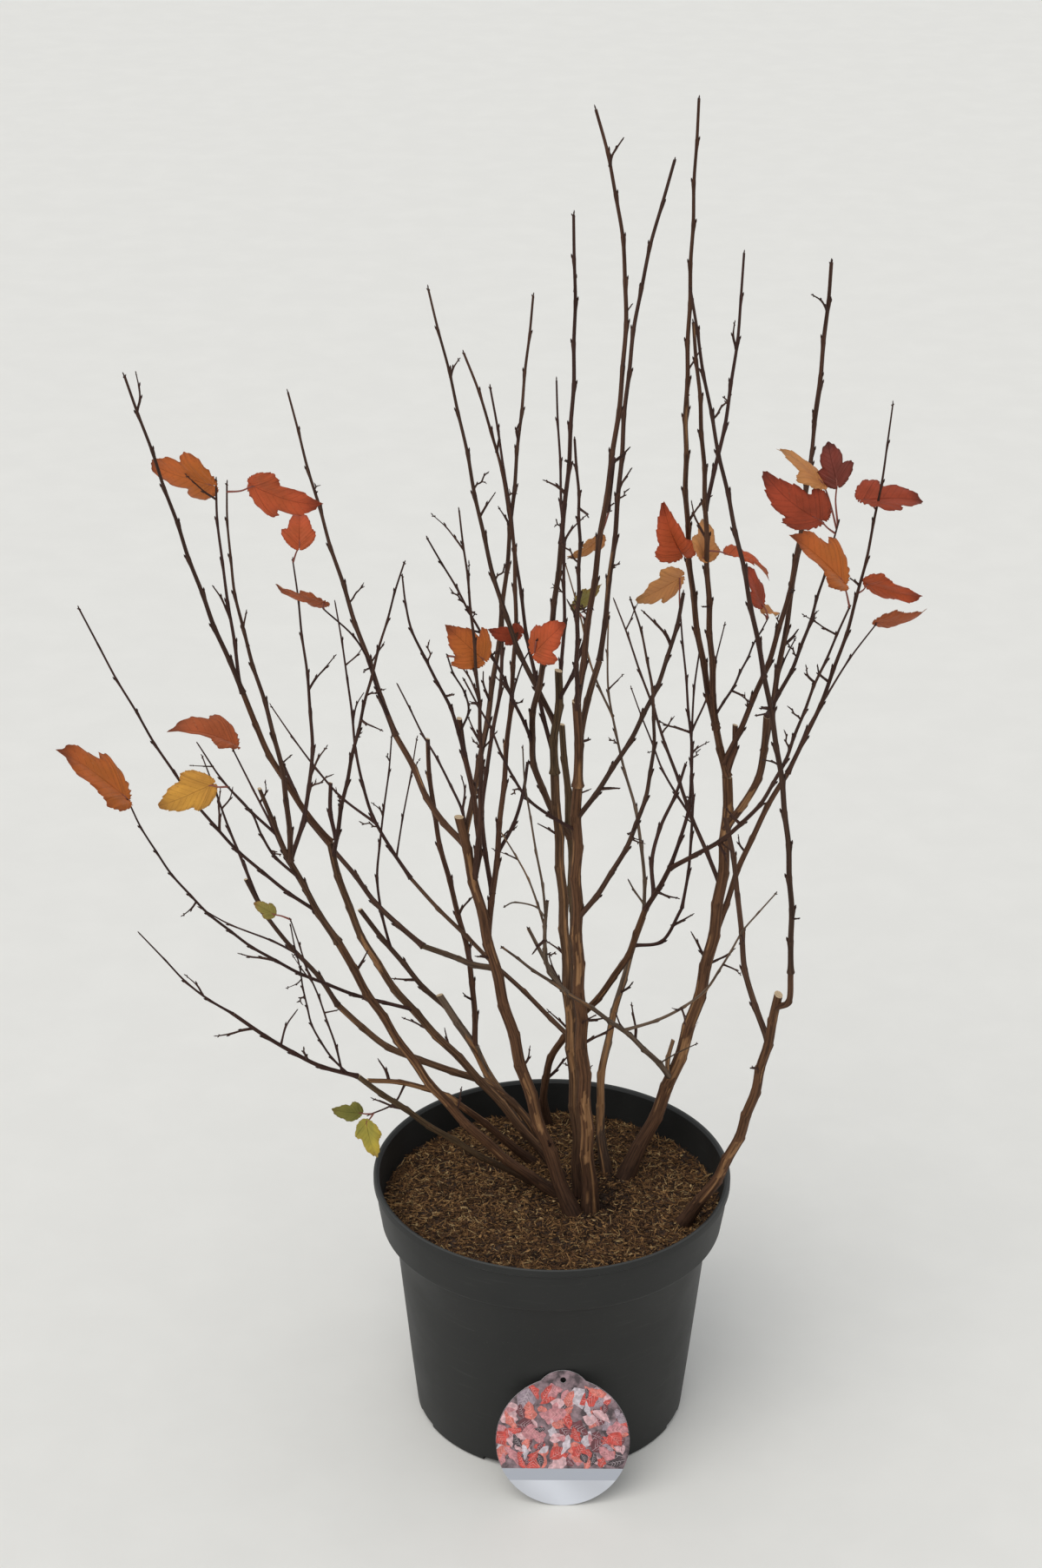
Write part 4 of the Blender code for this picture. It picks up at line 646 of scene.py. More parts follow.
def outAt(line, index):
    # which way the limb turns at a bud, and its own direction there
    along = unit(line[index + 1] - line[index - 1])
    out = line[index] - 0.5 * (line[index - 1] + line[index + 1])
    return unit(out - np.dot(out, along) * along), along


def nodeRelief(line, path, radius, angle, strength):
    # the limb swells from below to a small shelf under each bud
    tangent, normal, binormal = ringFrames(path)
    reach = reachAlong(path)
    relief = np.zeros((len(path), len(angle)))
    for index in range(1, len(line) - 1):
        out = outAt(line, index)[0]
        near = int(np.argmin(np.linalg.norm(path - line[index], axis=1)))
        facing = np.cos(angle - math.atan2(np.dot(out, binormal[near]), np.dot(out, normal[near])))
        gap = reach - reach[near]
        slope = np.where(gap < 0, woodLook["nodeBelow"], woodLook["nodeAbove"])
        size = strength * min(woodLook["nodeSwell"], 0.6 * radius[near])
        nearSide = 0.25 + 0.75 * np.clip(facing, 0, 1) ** 1.5
        relief += size * np.exp(-(gap / slope) ** 2)[:, None] * nearSide
    return relief


def barkRelief(name, path, radius, angle, seed, peelShare):
    # long low ridges, and strips where the outer bark has come away
    tangent, normal, binormal = ringFrames(path)
    reach = reachAlong(path)

    def field(turns, length, extra):
        points = np.zeros((len(path), len(angle), 3))
        points[..., 0] = np.cos(angle) * turns + 40
        points[..., 1] = np.sin(angle) * turns + 40
        points[..., 2] = reach[:, None] / length + extra
        return latticeNoise(points, seed)

    patch = 0.72 * field(2.6, 80 * mm, 3) + 0.28 * field(6, 24 * mm, 9)
    ragged = field(7, 18 * mm, 70) - 0.5
    for share, half, wide in peelSpots.get(name, ()):
        near = int(share * (len(path) - 1))
        facing = np.cos(angle - math.atan2(-binormal[near][1], -normal[near][1]) + 1.6 * ragged)
        gap = (reach - reach[near])[:, None] + 9 * mm * ragged
        spot = np.exp(-(gap / half) ** 4) * np.exp(-((1 - facing) / (0.35 * wide)) ** 2)
        patch = np.maximum(patch, 1.3 * spot)
    peeled = np.clip((patch - 0.82 + 0.20 * peelShare) / 0.03, 0, 1)
    ridges = field(5, 60 * mm, 20) - 0.5
    fine = field(10, 16 * mm, 50) - 0.5
    size = np.clip(radius / (4.5 * mm), 0.25, 1.2)[:, None]
    rough = size * (woodLook["ridge"] * ridges + woodLook["fine"] * fine)
    return rough - size * woodLook["peelDepth"] * peeled, peeled


def addStem(bag, name, sides, step, seed, peelShare=0.0, age=0.0, isCane=False):
    line, radii = lines[name], thickness[name]
    nodes = line
    if isCane:
        down = line[0] - woodLook["sinkFoot"] * unit(line[1] - line[0])
        line = np.vstack([down, line])
        radii = np.concatenate([[radii[0] * 1.1], radii])
    path, radius = smoothPath(line, radii, step)
    reach = reachAlong(path)
    if not isCane:
        radius = radius * (1 + woodLook["collar"] * np.exp(-reach / woodLook["collarLength"]))
    angle = np.linspace(0, 2 * math.pi, sides, endpoint=False)
    rough, peeled = barkRelief(name, path, radius, angle, seed, peelShare)
    shape = radius[:, None] + rough + nodeRelief(nodes, path, radius, angle, 0.8)
    cut = radii[-1] > woodLook["cutFrom"]
    marks = np.zeros((len(path), sides, 3))
    marks[..., 0] = peeled
    marks[..., 1] = age
    marks[..., 2] = np.clip(1 - reach / (90 * mm), 0, 1)[:, None] if isCane else 0
    addTube(bag, path, shape, sides, 0, marks, cut, offset=0.7 * seed)


def budAt(bag, place, along, out, length, width, slot, lean=0.2):
    # a pointed bud that lies close to the wand
    steps, sides = 6, 6
    axis = unit(along + lean * out)
    side = unit(np.cross(axis, out))
    front = np.cross(side, axis)
    t = np.linspace(0, 1, steps)
    radius = width * np.sin(math.pi * np.clip(t * 0.84 + 0.14, 0, 1)) ** 0.8
    radius[-1] = 0.08 * width
    bow = 0.10 * length * (t[:, None] - t[:, None] ** 2)
    path = place + axis * (t[:, None] - 0.1) * length + front * bow
    angle = np.linspace(0, 2 * math.pi, sides, endpoint=False)
    ring = np.cos(angle)[None, :, None] * side + np.sin(angle)[None, :, None] * front
    verts = path[:, None] + radius[:, None, None] * ring
    marks = np.zeros((steps, sides, 3))
    marks[..., 0] = t[:, None]
    faces = gridFaces(steps, sides)
    faces.append(list(range(sides))[::-1])
    faces.append([(steps - 1) * sides + k for k in range(sides)])
    bag.add(verts, faces, slot, None, marks)


def tipBuds(bag, place, along, seed, size=1.0):
    # the dried end of a shoot: an end bud, with a smaller one at either side of it
    luck = random.Random(900 + seed)
    across = unit(np.cross(along, (luck.uniform(-1, 1), luck.uniform(-1, 1), 0.2)))
    for side, scale, lean in ((1, 1.0, 0.12), (-1, 0.75, 0.7), (1, 0.6, 1.0)):
        length = size * scale * luck.uniform(2.6, 4.2) * mm
        foot = place - along * (1 - scale) * 5 * mm
        budAt(bag, foot, along, side * across, length, 0.55 * mm * size, 2, lean)


def addWand(bag, name, seed, age, withBuds=True):
    line, radii = lines[name], thickness[name]
    path, radius = smoothPath(line, radii, woodLook["wandStep"])
    reach = reachAlong(path)
    cut = radii[-1] > woodLook["cutFrom"]
    radius = radius * (1 + woodLook["collar"] * np.exp(-reach / woodLook["collarLength"]))
    sides = woodLook["wandSides"]
    angle = np.linspace(0, 2 * math.pi, sides, endpoint=False)
    rough, peeled = barkRelief(name, path, radius, angle, seed, -0.2 + 0.8 * age)
    shape = radius[:, None] + rough + nodeRelief(line, path, radius, angle, 1.0)
    marks = np.zeros((len(path), sides, 3))
    marks[..., 0] = peeled * min(1, 2 * age)
    marks[..., 1] = np.clip(age * (1.25 - reach / (0.35 + reach[-1])), 0, 1)[:, None]
    addTube(bag, path, shape, sides, 0, marks, cut, offset=0.7 * seed)
    if not cut:
        tipBuds(bag, path[-1], unit(path[-1] - path[-3]), seed, 0.7 + 0.3 * min(1, radii[-1] / mm))
    if not withBuds:
        return
    for index in range(1, len(line) - 1):
        out, along = outAt(line, index)
        thick = radii[index]
        if thick > 2.6 * mm:
            continue
        length = woodLook["budLength"] * (0.75 + 0.15 * thick / mm)
        width = woodLook["budWidth"] * (0.7 + 0.25 * thick / mm)
        budAt(bag, line[index] + out * thick * 1.02, along, out, length, width, 2)


def addSpur(bag, foot, tip, seed):
    # a short side twig that zigzags from bud to bud, some with a finer twig of their own
    luck = random.Random(400 + seed)
    length = np.linalg.norm(tip - foot)
    along = unit(tip - foot)
    across = unit(np.cross(along, (0.3, luck.uniform(-1, 1), 1)))
    count = 4
    points = [foot + (tip - foot) * part / count for part in range(count + 1)]
    for step in range(1, count):
        points[step] = points[step] + across * (0.05 * length * (-1) ** step)
    twigs = [(np.array(points), (0.8, 0.5))]
    for step in (1, 2, 3):
        side = across * (-1) ** step
        if luck.random() < 0.2:
            start = points[step]
            reachOut = length * luck.uniform(0.18, 0.32)
            end = start + reachOut * unit(along + 1.1 * side)
            twigs.append((np.array([start, 0.5 * (start + end) + 0.03 * length * along, end]), (0.5, 0.36)))
        else:
            budAt(bag, points[step] + side * 0.5 * mm, along, side, 2.4 * mm, 0.5 * mm, 2, 0.4)
    for line, (first, last) in twigs:
        path, radius = smoothPath(line, np.linspace(first, last, len(line)) * mm, 1.8 * mm)
        marks = np.zeros((len(path), 6, 3))
        marks[..., 1] = 0.15
        addTube(bag, path, radius, 6, 0, marks, offset=0.7 * seed)
        tipBuds(bag, path[-1], unit(path[-1] - path[-2]), seed + 7 * len(line), 0.6)


# Shader groups. Each gives masks and heights; the shader stays in the material.
def newGroup(name, inputs, outputs):
    group = bpy.data.node_groups.new(name, "ShaderNodeTree")
    for title, value in inputs.items():
        socket = group.interface.new_socket(name=title, in_out="INPUT", socket_type="NodeSocketFloat")
        socket.default_value = value
    for title in outputs:
        group.interface.new_socket(name=title, in_out="OUTPUT", socket_type="NodeSocketFloat")
    return group, group.nodes.new("NodeGroupInput"), group.nodes.new("NodeGroupOutput")


def node(tree, kind, links=None, **values):
    made = tree.nodes.new(kind)
    for title, value in values.items():
        setattr(made, title, value)
    for socket, value in (links or {}).items():
        if isinstance(value, bpy.types.NodeSocket):
            tree.links.new(value, made.inputs[socket])
        else:
            made.inputs[socket].default_value = value
    return made


def mathNode(tree, operation, first, second=0.0, third=None, clamp=False):
    links = {0: first, 1: second}
    if third is not None:
        links[2] = third
    return node(tree, "ShaderNodeMath", links, operation=operation, use_clamp=clamp).outputs[0]


def mixColours(tree, factor, first, second, blend="MIX"):
    mix = node(tree, "ShaderNodeMix", {0: factor, 6: first, 7: second}, data_type="RGBA", blend_type=blend)
    return mix.outputs[2]


def streaksGroup():
    # streaks that run along the grain
    values = {"Fineness": 900.0, "Stretch": 0.06, "Contrast": 1.0}
    group, given, made = newGroup("barkStreaks", values, ("Mask", "Height"))
    grain = node(group, "ShaderNodeAttribute", attribute_name="grain")
    split = node(group, "ShaderNodeSeparateXYZ", {0: grain.outputs["Vector"]})
    along = mathNode(group, "MULTIPLY", split.outputs[2], given.outputs["Stretch"])
    joined = node(group, "ShaderNodeCombineXYZ", {0: split.outputs[0], 1: split.outputs[1], 2: along})
    noise = node(group, "ShaderNodeTexNoise", {
        "Vector": joined.outputs[0], "Scale": given.outputs["Fineness"], "Detail": 4.0, "Roughness": 0.6,
    })
    centred = mathNode(group, "SUBTRACT", noise.outputs[0], 0.5)
    strong = mathNode(group, "MULTIPLY", centred, given.outputs["Contrast"])
    mask = mathNode(group, "MULTIPLY_ADD", strong, 2.4, 0.5, clamp=True)
    group.links.new(mask, made.inputs["Mask"])
    group.links.new(noise.outputs[0], made.inputs["Height"])
    return group


def speckleGroup():
    # fine moulded or dusty speckle, in the object's own place
    values = {"Fineness": 900.0, "Threshold": 0.5, "Softness": 0.1}
    group, given, made = newGroup("speckle", values, ("Mask", "Height"))
    place = node(group, "ShaderNodeTexCoord")
    noise = node(group, "ShaderNodeTexNoise", {
        "Vector": place.outputs["Object"], "Scale": given.outputs["Fineness"], "Detail": 3.0, "Roughness": 0.55,
    })
    over = mathNode(group, "SUBTRACT", noise.outputs[0], given.outputs["Threshold"])
    mask = mathNode(group, "DIVIDE", over, given.outputs["Softness"], clamp=True)
    group.links.new(mask, made.inputs["Mask"])
    group.links.new(noise.outputs[0], made.inputs["Height"])
    return group


def veinsGroup():
    # the veins of a lobed leaf, from the place on its blade
    group, given, made = newGroup("leafVeins", {"Width": 0.012}, ("Mask", "Rim", "Below", "Outward"))
    place = node(group, "ShaderNodeAttribute", attribute_name="grain")
    marks = node(group, "ShaderNodeAttribute", attribute_name="marks")
    split = node(group, "ShaderNodeSeparateXYZ", {0: place.outputs["Vector"]})
    flags = node(group, "ShaderNodeSeparateXYZ", {0: marks.outputs["Vector"]})
    along, across = split.outputs[0], mathNode(group, "ABSOLUTE", split.outputs[1])

    def lineMask(distance, width):
        near = mathNode(group, "DIVIDE", distance, width)
        return mathNode(group, "SUBTRACT", 1.0, near, clamp=True)

    middle = lineMask(across, given.outputs["Width"])
    lean = math.radians(50)
    sideways = mathNode(group, "MULTIPLY", along, math.sin(lean))
    slant = mathNode(group, "MULTIPLY_ADD", across, -math.cos(lean), sideways)
    sideVein = lineMask(mathNode(group, "ABSOLUTE", slant), given.outputs["Width"])
    chevron = mathNode(group, "MULTIPLY_ADD", across, -0.9, along)
    steps = mathNode(group, "FRACT", mathNode(group, "MULTIPLY", chevron, 8.0))
    centred = mathNode(group, "ABSOLUTE", mathNode(group, "SUBTRACT", steps, 0.5))
    small = mathNode(group, "MULTIPLY", lineMask(centred, 0.07), 0.55)
    strong = mathNode(group, "MAXIMUM", mathNode(group, "MAXIMUM", middle, sideVein), small)
    group.links.new(strong, made.inputs["Mask"])
    group.links.new(flags.outputs[0], made.inputs["Rim"])
    group.links.new(flags.outputs[1], made.inputs["Below"])
    outward = mathNode(group, "MULTIPLY_ADD", split.outputs[2], 1.15, -0.35, clamp=True)
    group.links.new(outward, made.inputs["Outward"])
    return group


groups = {"streaks": streaksGroup(), "speckle": speckleGroup(), "veins": veinsGroup()}


def useGroup(tree, name, **values):
    made = tree.nodes.new("ShaderNodeGroup")
    made.node_tree = groups[name]
    for title, value in values.items():
        made.inputs[title].default_value = value
    return made


def newMaterial(name, roughness, **sockets):
    material = bpy.data.materials.new(name)
    material.use_nodes = True
    shader = material.node_tree.nodes["Principled BSDF"]
    shader.inputs["Roughness"].default_value = roughness
    for title, value in sockets.items():
        shader.inputs[title.replace("_", " ")].default_value = value
    return material, material.node_tree, shader


def bumpInto(tree, shader, height, strength, distance):
    bump = node(tree, "ShaderNodeBump", {"Height": height, "Strength": strength, "Distance": distance})
    tree.links.new(bump.outputs[0], shader.inputs["Normal"])


# The dark and the light tone of each bark's streaks.
barkTones = {
    "young": ((0.026, 0.012, 0.0095), (0.066, 0.031, 0.024)),
    "red": ((0.030, 0.014, 0.008), (0.165, 0.078, 0.038)),
    "brown": ((0.028, 0.014, 0.008), (0.150, 0.080, 0.042)),
    "olive": ((0.032, 0.019, 0.010), (0.120, 0.075, 0.038)),
    "grey": ((0.045, 0.030, 0.021), (0.190, 0.130, 0.088)),
    "peeled": ((0.150, 0.070, 0.030), (0.370, 0.200, 0.092)),
    "foot": ((0.022, 0.012, 0.008), (0.070, 0.036, 0.022)),
}


def barkMaterial(tone):
    material, tree, shader = newMaterial(tone + " bark", 0.72, Specular_IOR_Level=0.14)
    streaks = useGroup(tree, "streaks", Fineness=780.0, Stretch=0.03, Contrast=1.9)
    fine = useGroup(tree, "streaks", Fineness=2300.0, Stretch=0.06, Contrast=1.0)
    marks = node(tree, "ShaderNodeAttribute", attribute_name="marks")
    split = node(tree, "ShaderNodeSeparateXYZ", {0: marks.outputs["Vector"]})
    both = mathNode(tree, "MULTIPLY_ADD", fine.outputs["Mask"], 0.35, 0.0)
    mask = mathNode(tree, "MULTIPLY_ADD", streaks.outputs["Mask"], 0.65, both)

    def pair(name):
        dark, light = barkTones[name]
        return mixColours(tree, mask, (*dark, 1), (*light, 1))

    wood = mixColours(tree, split.outputs[1], pair("young"), pair(tone))
    darker = mixColours(tree, split.outputs[2], wood, pair("foot"))
    shown = mixColours(tree, split.outputs[0], darker, pair("peeled"))
    tree.links.new(shown, shader.inputs["Base Color"])
    bumpInto(tree, shader, mask, 0.6, 0.0003)
    return material


def plainMaterial(name, colour, roughness, fineness=0.0, shift=0.25, strength=0.3, distance=0.0003, **sockets):
    # one colour, with a little speckle in tone and relief
    material, tree, shader = newMaterial(name, roughness, **sockets)
    if not fineness:
        shader.inputs["Base Color"].default_value = (*colour, 1)
        return material
    speckle = useGroup(tree, "speckle", Fineness=fineness, Threshold=0.4, Softness=0.3)
    dark = tuple(c * (1 - shift) for c in colour) + (1,)
    light = tuple(min(1, c * (1 + shift)) for c in colour) + (1,)
    tree.links.new(mixColours(tree, speckle.outputs["Mask"], dark, light), shader.inputs["Base Color"])
    bumpInto(tree, shader, speckle.outputs["Height"], strength, distance)
    return material


cutWood = plainMaterial("cut wood", (0.56, 0.42, 0.27), 0.8, 1400.0, Specular_IOR_Level=0.2)
budScales = plainMaterial("bud scales", (0.042, 0.019, 0.014), 0.6, 1800.0, Specular_IOR_Level=0.2)
barks = {tone: [barkMaterial(tone), cutWood, budScales] for tone in ("red", "brown", "olive", "grey")}
caneTones = {"cane_grey": "grey", "cane_old": "grey", "cane_mid_back": "olive", "cane_left_long": "brown",
             "cane_fan_low": "brown", "cane_mid_left": "brown", "cane_left_low": "olive"}
boughTones = {"bough_bend": "olive", "bough_back_left": "brown", "bough_mid_side": "brown"}
# How much of each cane's bark has come away, from 0 to 1.
peelShares = {"cane_mid_right": 0.35, "cane_mid_left": 0.3, "cane_left_upright": 0.35, "cane_grey": 0.8,
              "cane_right": 0.3, "cane_front_right": 0.3, "cane_peeled": 0.7, "cane_fan_mid": 0.3}


def buildCanes():
    for seed, name in enumerate(canes):
        bag = Bag()
        addStem(bag, name, woodLook["caneSides"], woodLook["caneStep"], seed + 1,
                peelShares.get(name, 0.3), 1.0, True)
        placePiece(bag.build("bark_" + name, barks[caneTones.get(name, "red")]), "bark", name)
    for seed, name in enumerate(boughs):
        bag = Bag()
        addStem(bag, name, woodLook["boughSides"], woodLook["caneStep"], seed + 31, 0.1, 0.75)
        placePiece(bag.build("bark_" + name, barks[boughTones.get(name, "red")]), "bark", name)
    print("canes and boughs built")


def buildSprays():
    for number, (spray, limbs) in enumerate(sprays.items()):
        bag = Bag()
        dead = spray in ("spray_dead", "spray_grey")
        for step, name in enumerate(limbs):
            seed = 60 + 9 * number + step
            age = float(np.clip((thickness[name][0] / mm - 1.6) / 1.8, 0, 0.8))
            if dead:
                age = 0.85
            addWand(bag, name, seed, age, spray != "spray_dead")
            for foot, tip in spursOf(name):
                addSpur(bag, foot, tip, seed)
        tone = "grey" if dead else ("red", "brown", "olive")[number % 3]
        placePiece(bag.build("wands_" + spray, barks[tone]), "dead_twigs" if dead else "twigs", spray)
    print("wands built")


stripLook = {"perCane": 5, "length": (8 * mm, 30 * mm), "width": (0.5 * mm, 1.3 * mm), "lift": 1.2 * mm}


def buildTwigs():
    # the fine twigs are laid out last, so that they change nothing before them
    luck = random.Random(twigRule["seed"])
    bag = Bag()
    abovePot = (cadBox[0][0], cadBox[0][1], potShape["height"])
    carriers = [(name, abovePot, cadBox[1]) for name in [*canes, *boughs]]
    for spray, limbs in sprays.items():
        low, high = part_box(spray)
        carriers += [(name, low, high) for name in limbs]
    made = [limb for name, low, high in carriers for limb in twigsOn(name, low, high, luck)]
    for number, limb in enumerate(made):
        name = f"twig_{number + 1:02d}"
        addLimb(name, limb, growth["twigSpacing"], luck)
        addWand(bag, name, 500 + number, 0.1)
    placePiece(bag.build("fine_twigs", barks["brown"]), "twigs")
    print("fine twigs built:", len(made))


def buildStrips():
    # loose strips of bark that stand off the canes
    luck = random.Random(7)
    bag = Bag()
    for name in canes:
        path, radius = smoothPath(lines[name], thickness[name], 2 * mm)
        tangent, normal, binormal = ringFrames(path)
        for _ in range(stripLook["perCane"]):
            length = luck.uniform(*stripLook["length"])
            count = max(5, int(length / (2 * mm)))
            first = luck.randrange(2, max(3, int((len(path) - count) * 0.8)))
            turn = luck.uniform(0, 2 * math.pi)
            width = luck.uniform(*stripLook["width"])
            lift = luck.uniform(0.1, 1) * stripLook["lift"]
            twist = luck.uniform(-0.5, 0.5)
            upward = luck.random() < 0.6
            verts = []
            for step in range(count):
                part = step / (count - 1)
                index = min(first + step, len(path) - 1)
                free = part if upward else 1 - part
                at = turn + twist * part
                out = math.cos(at) * normal[index] + math.sin(at) * binormal[index]
                side = np.cross(tangent[index], out)
                height = radius[index] + 0.1 * mm + lift * max(0, free - 0.55) ** 2 * 5
                half = 0.5 * width * (1 - 0.8 * abs(2 * part - 1) ** 3)
                middle = path[index] + out * height
                for across, up in ((-1, -0.2), (-1, 0.2), (0, 0.32), (1, 0.2), (1, -0.2), (0, -0.1)):
                    verts.append(middle + side * across * half + out * up * 0.4 * mm)
            faces = gridFaces(count, 6)
            faces += [[5, 4, 3, 2, 1, 0], [(count - 1) * 6 + k for k in range(6)]]
            marks = np.tile((luck.choice((0, 0, 0.4, 0.9)), 1, 0), (len(verts), 1))
            bag.add(verts, faces, 0, None, marks)
    placePiece(bag.build("loose_bark_strips", barks["red"]), "bark")
    print("bark strips built")


leafLook = {
    "width": 0.88,
    "faces": (0, -0.9, 0.43),
    "thickness": 0.26 * mm,
    "angles": 171,
    "rings": 8,
    "teeth": 12,
    "toothDepth": 0.034,
    "fineToothDepth": 0.016,
    "ruffle": 0.028,
    "lobeDroop": 0.16,
}
# The outline of half a leaf: degrees from the midrib, and the reach from the stalk's end.
leafOutline = ((0, 1.0), (5, 0.945), (12, 0.865), (21, 0.765), (28, 0.665), (33, 0.60), (39, 0.575), (49, 0.60),
               (57, 0.575), (68, 0.47), (80, 0.355), (95, 0.25), (117, 0.17), (145, 0.13), (174, 0.10))

# For each tint: the inner blade, the outer blade, the toothed edge and the underside.
tints = {
    "orange": ((0.43, 0.120, 0.022), (0.56, 0.135, 0.030), (0.17, 0.040, 0.014), (0.50, 0.20, 0.075)),
    "redOrange": ((0.38, 0.078, 0.024), (0.56, 0.098, 0.034), (0.20, 0.034, 0.014), (0.48, 0.16, 0.075)),
    "red": ((0.26, 0.045, 0.018), (0.42, 0.066, 0.028), (0.11, 0.020, 0.011), (0.36, 0.12, 0.065)),
    "darkRed": ((0.13, 0.030, 0.020), (0.21, 0.040, 0.026), (0.06, 0.015, 0.010), (0.22, 0.08, 0.05)),
    "rust": ((0.34, 0.085, 0.030), (0.47, 0.115, 0.040), (0.16, 0.045, 0.020), (0.46, 0.22, 0.105)),
    "ochre": ((0.50, 0.20, 0.070), (0.56, 0.25, 0.085), (0.30, 0.14, 0.05), (0.46, 0.26, 0.12)),
    "yellow": ((0.52, 0.24, 0.045), (0.74, 0.37, 0.060), (0.30, 0.13, 0.03), (0.62, 0.36, 0.10)),
    "olive": ((0.22, 0.18, 0.045), (0.30, 0.24, 0.06), (0.22, 0.10, 0.03), (0.30, 0.25, 0.10)),
    "green": ((0.20, 0.19, 0.045), (0.26, 0.24, 0.055), (0.16, 0.12, 0.03), (0.28, 0.27, 0.10)),
    "greenYellow": ((0.24, 0.22, 0.045), (0.52, 0.40, 0.055), (0.42, 0.26, 0.04), (0.42, 0.36, 0.12)),
}


def leafMaterial(name, inner, outer, edge, under):
    material, tree, shader = newMaterial(name + " leaf", 0.56, Specular_IOR_Level=0.16)
    veins = useGroup(tree, "veins", Width=0.011)
    blotch = useGroup(tree, "speckle", Fineness=62.0, Threshold=0.36, Softness=0.3)
    fleck = useGroup(tree, "speckle", Fineness=520.0, Threshold=0.62, Softness=0.08)
    spread = mathNode(tree, "MULTIPLY_ADD", blotch.outputs["Mask"], 0.55, veins.outputs["Outward"], clamp=True)
    body = mixColours(tree, spread, (*inner, 1), (*outer, 1))
    spotted = mixColours(tree, mathNode(tree, "MULTIPLY", fleck.outputs["Mask"], 0.35), body, (*edge, 1))
    dark = tuple(0.62 * c for c in inner)
    veined = mixColours(tree, mathNode(tree, "MULTIPLY", veins.outputs["Mask"], 0.55), spotted, (*dark, 1))
    rimmed = mixColours(tree, veins.outputs["Rim"], veined, (*edge, 1))
    turned = mixColours(tree, mathNode(tree, "MULTIPLY", veins.outputs["Below"], 0.7), rimmed, (*under, 1))
    tree.links.new(turned, shader.inputs["Base Color"])
    bumpInto(tree, shader, veins.outputs["Mask"], 0.6, -0.0005)
    return material


def leafRings(luck):
    # rings of places on the blade, from the stalk's end to the toothed edge
    count = leafLook["angles"]
    degrees = np.linspace(-174, 174, count)
    angle, away = np.radians(degrees), np.abs(degrees)
    keys = np.array(leafOutline, float)
    smooth = np.interp(away, keys[:, 0], keys[:, 1])
    for sign in (-1, 1):
        half = np.sign(degrees) == sign
        notch = luck.uniform(-0.01, 0.09) * np.exp(-((away - 34) / 5.5) ** 2)
        lobe = luck.uniform(-0.05, 0.06) * np.exp(-((away - 54) / 12) ** 2)
        smooth = np.where(half, smooth - notch + lobe, smooth)
    teeth = away / 180 * leafLook["teeth"] * 1.6
    coarse = 1 - (teeth + luck.random()) % 1
    fine = 1 - (teeth * 2 + luck.random()) % 1
    tooth = leafLook["toothDepth"] * (coarse - 0.4) + leafLook["fineToothDepth"] * (fine - 0.5)
    ragged = smooth + tooth * (0.35 + smooth) * np.clip(1 - (away / 172) ** 8, 0, 1)
    places = []
    for ring in range(1, leafLook["rings"] + 1):
        t = (ring / leafLook["rings"]) ** 0.8
        reach = smooth * t + (ragged - smooth) * t ** 5
        places.append(np.stack([reach * np.cos(angle), reach * np.sin(angle), np.full(count, t)], -1))
    return np.array(places), coarse, away


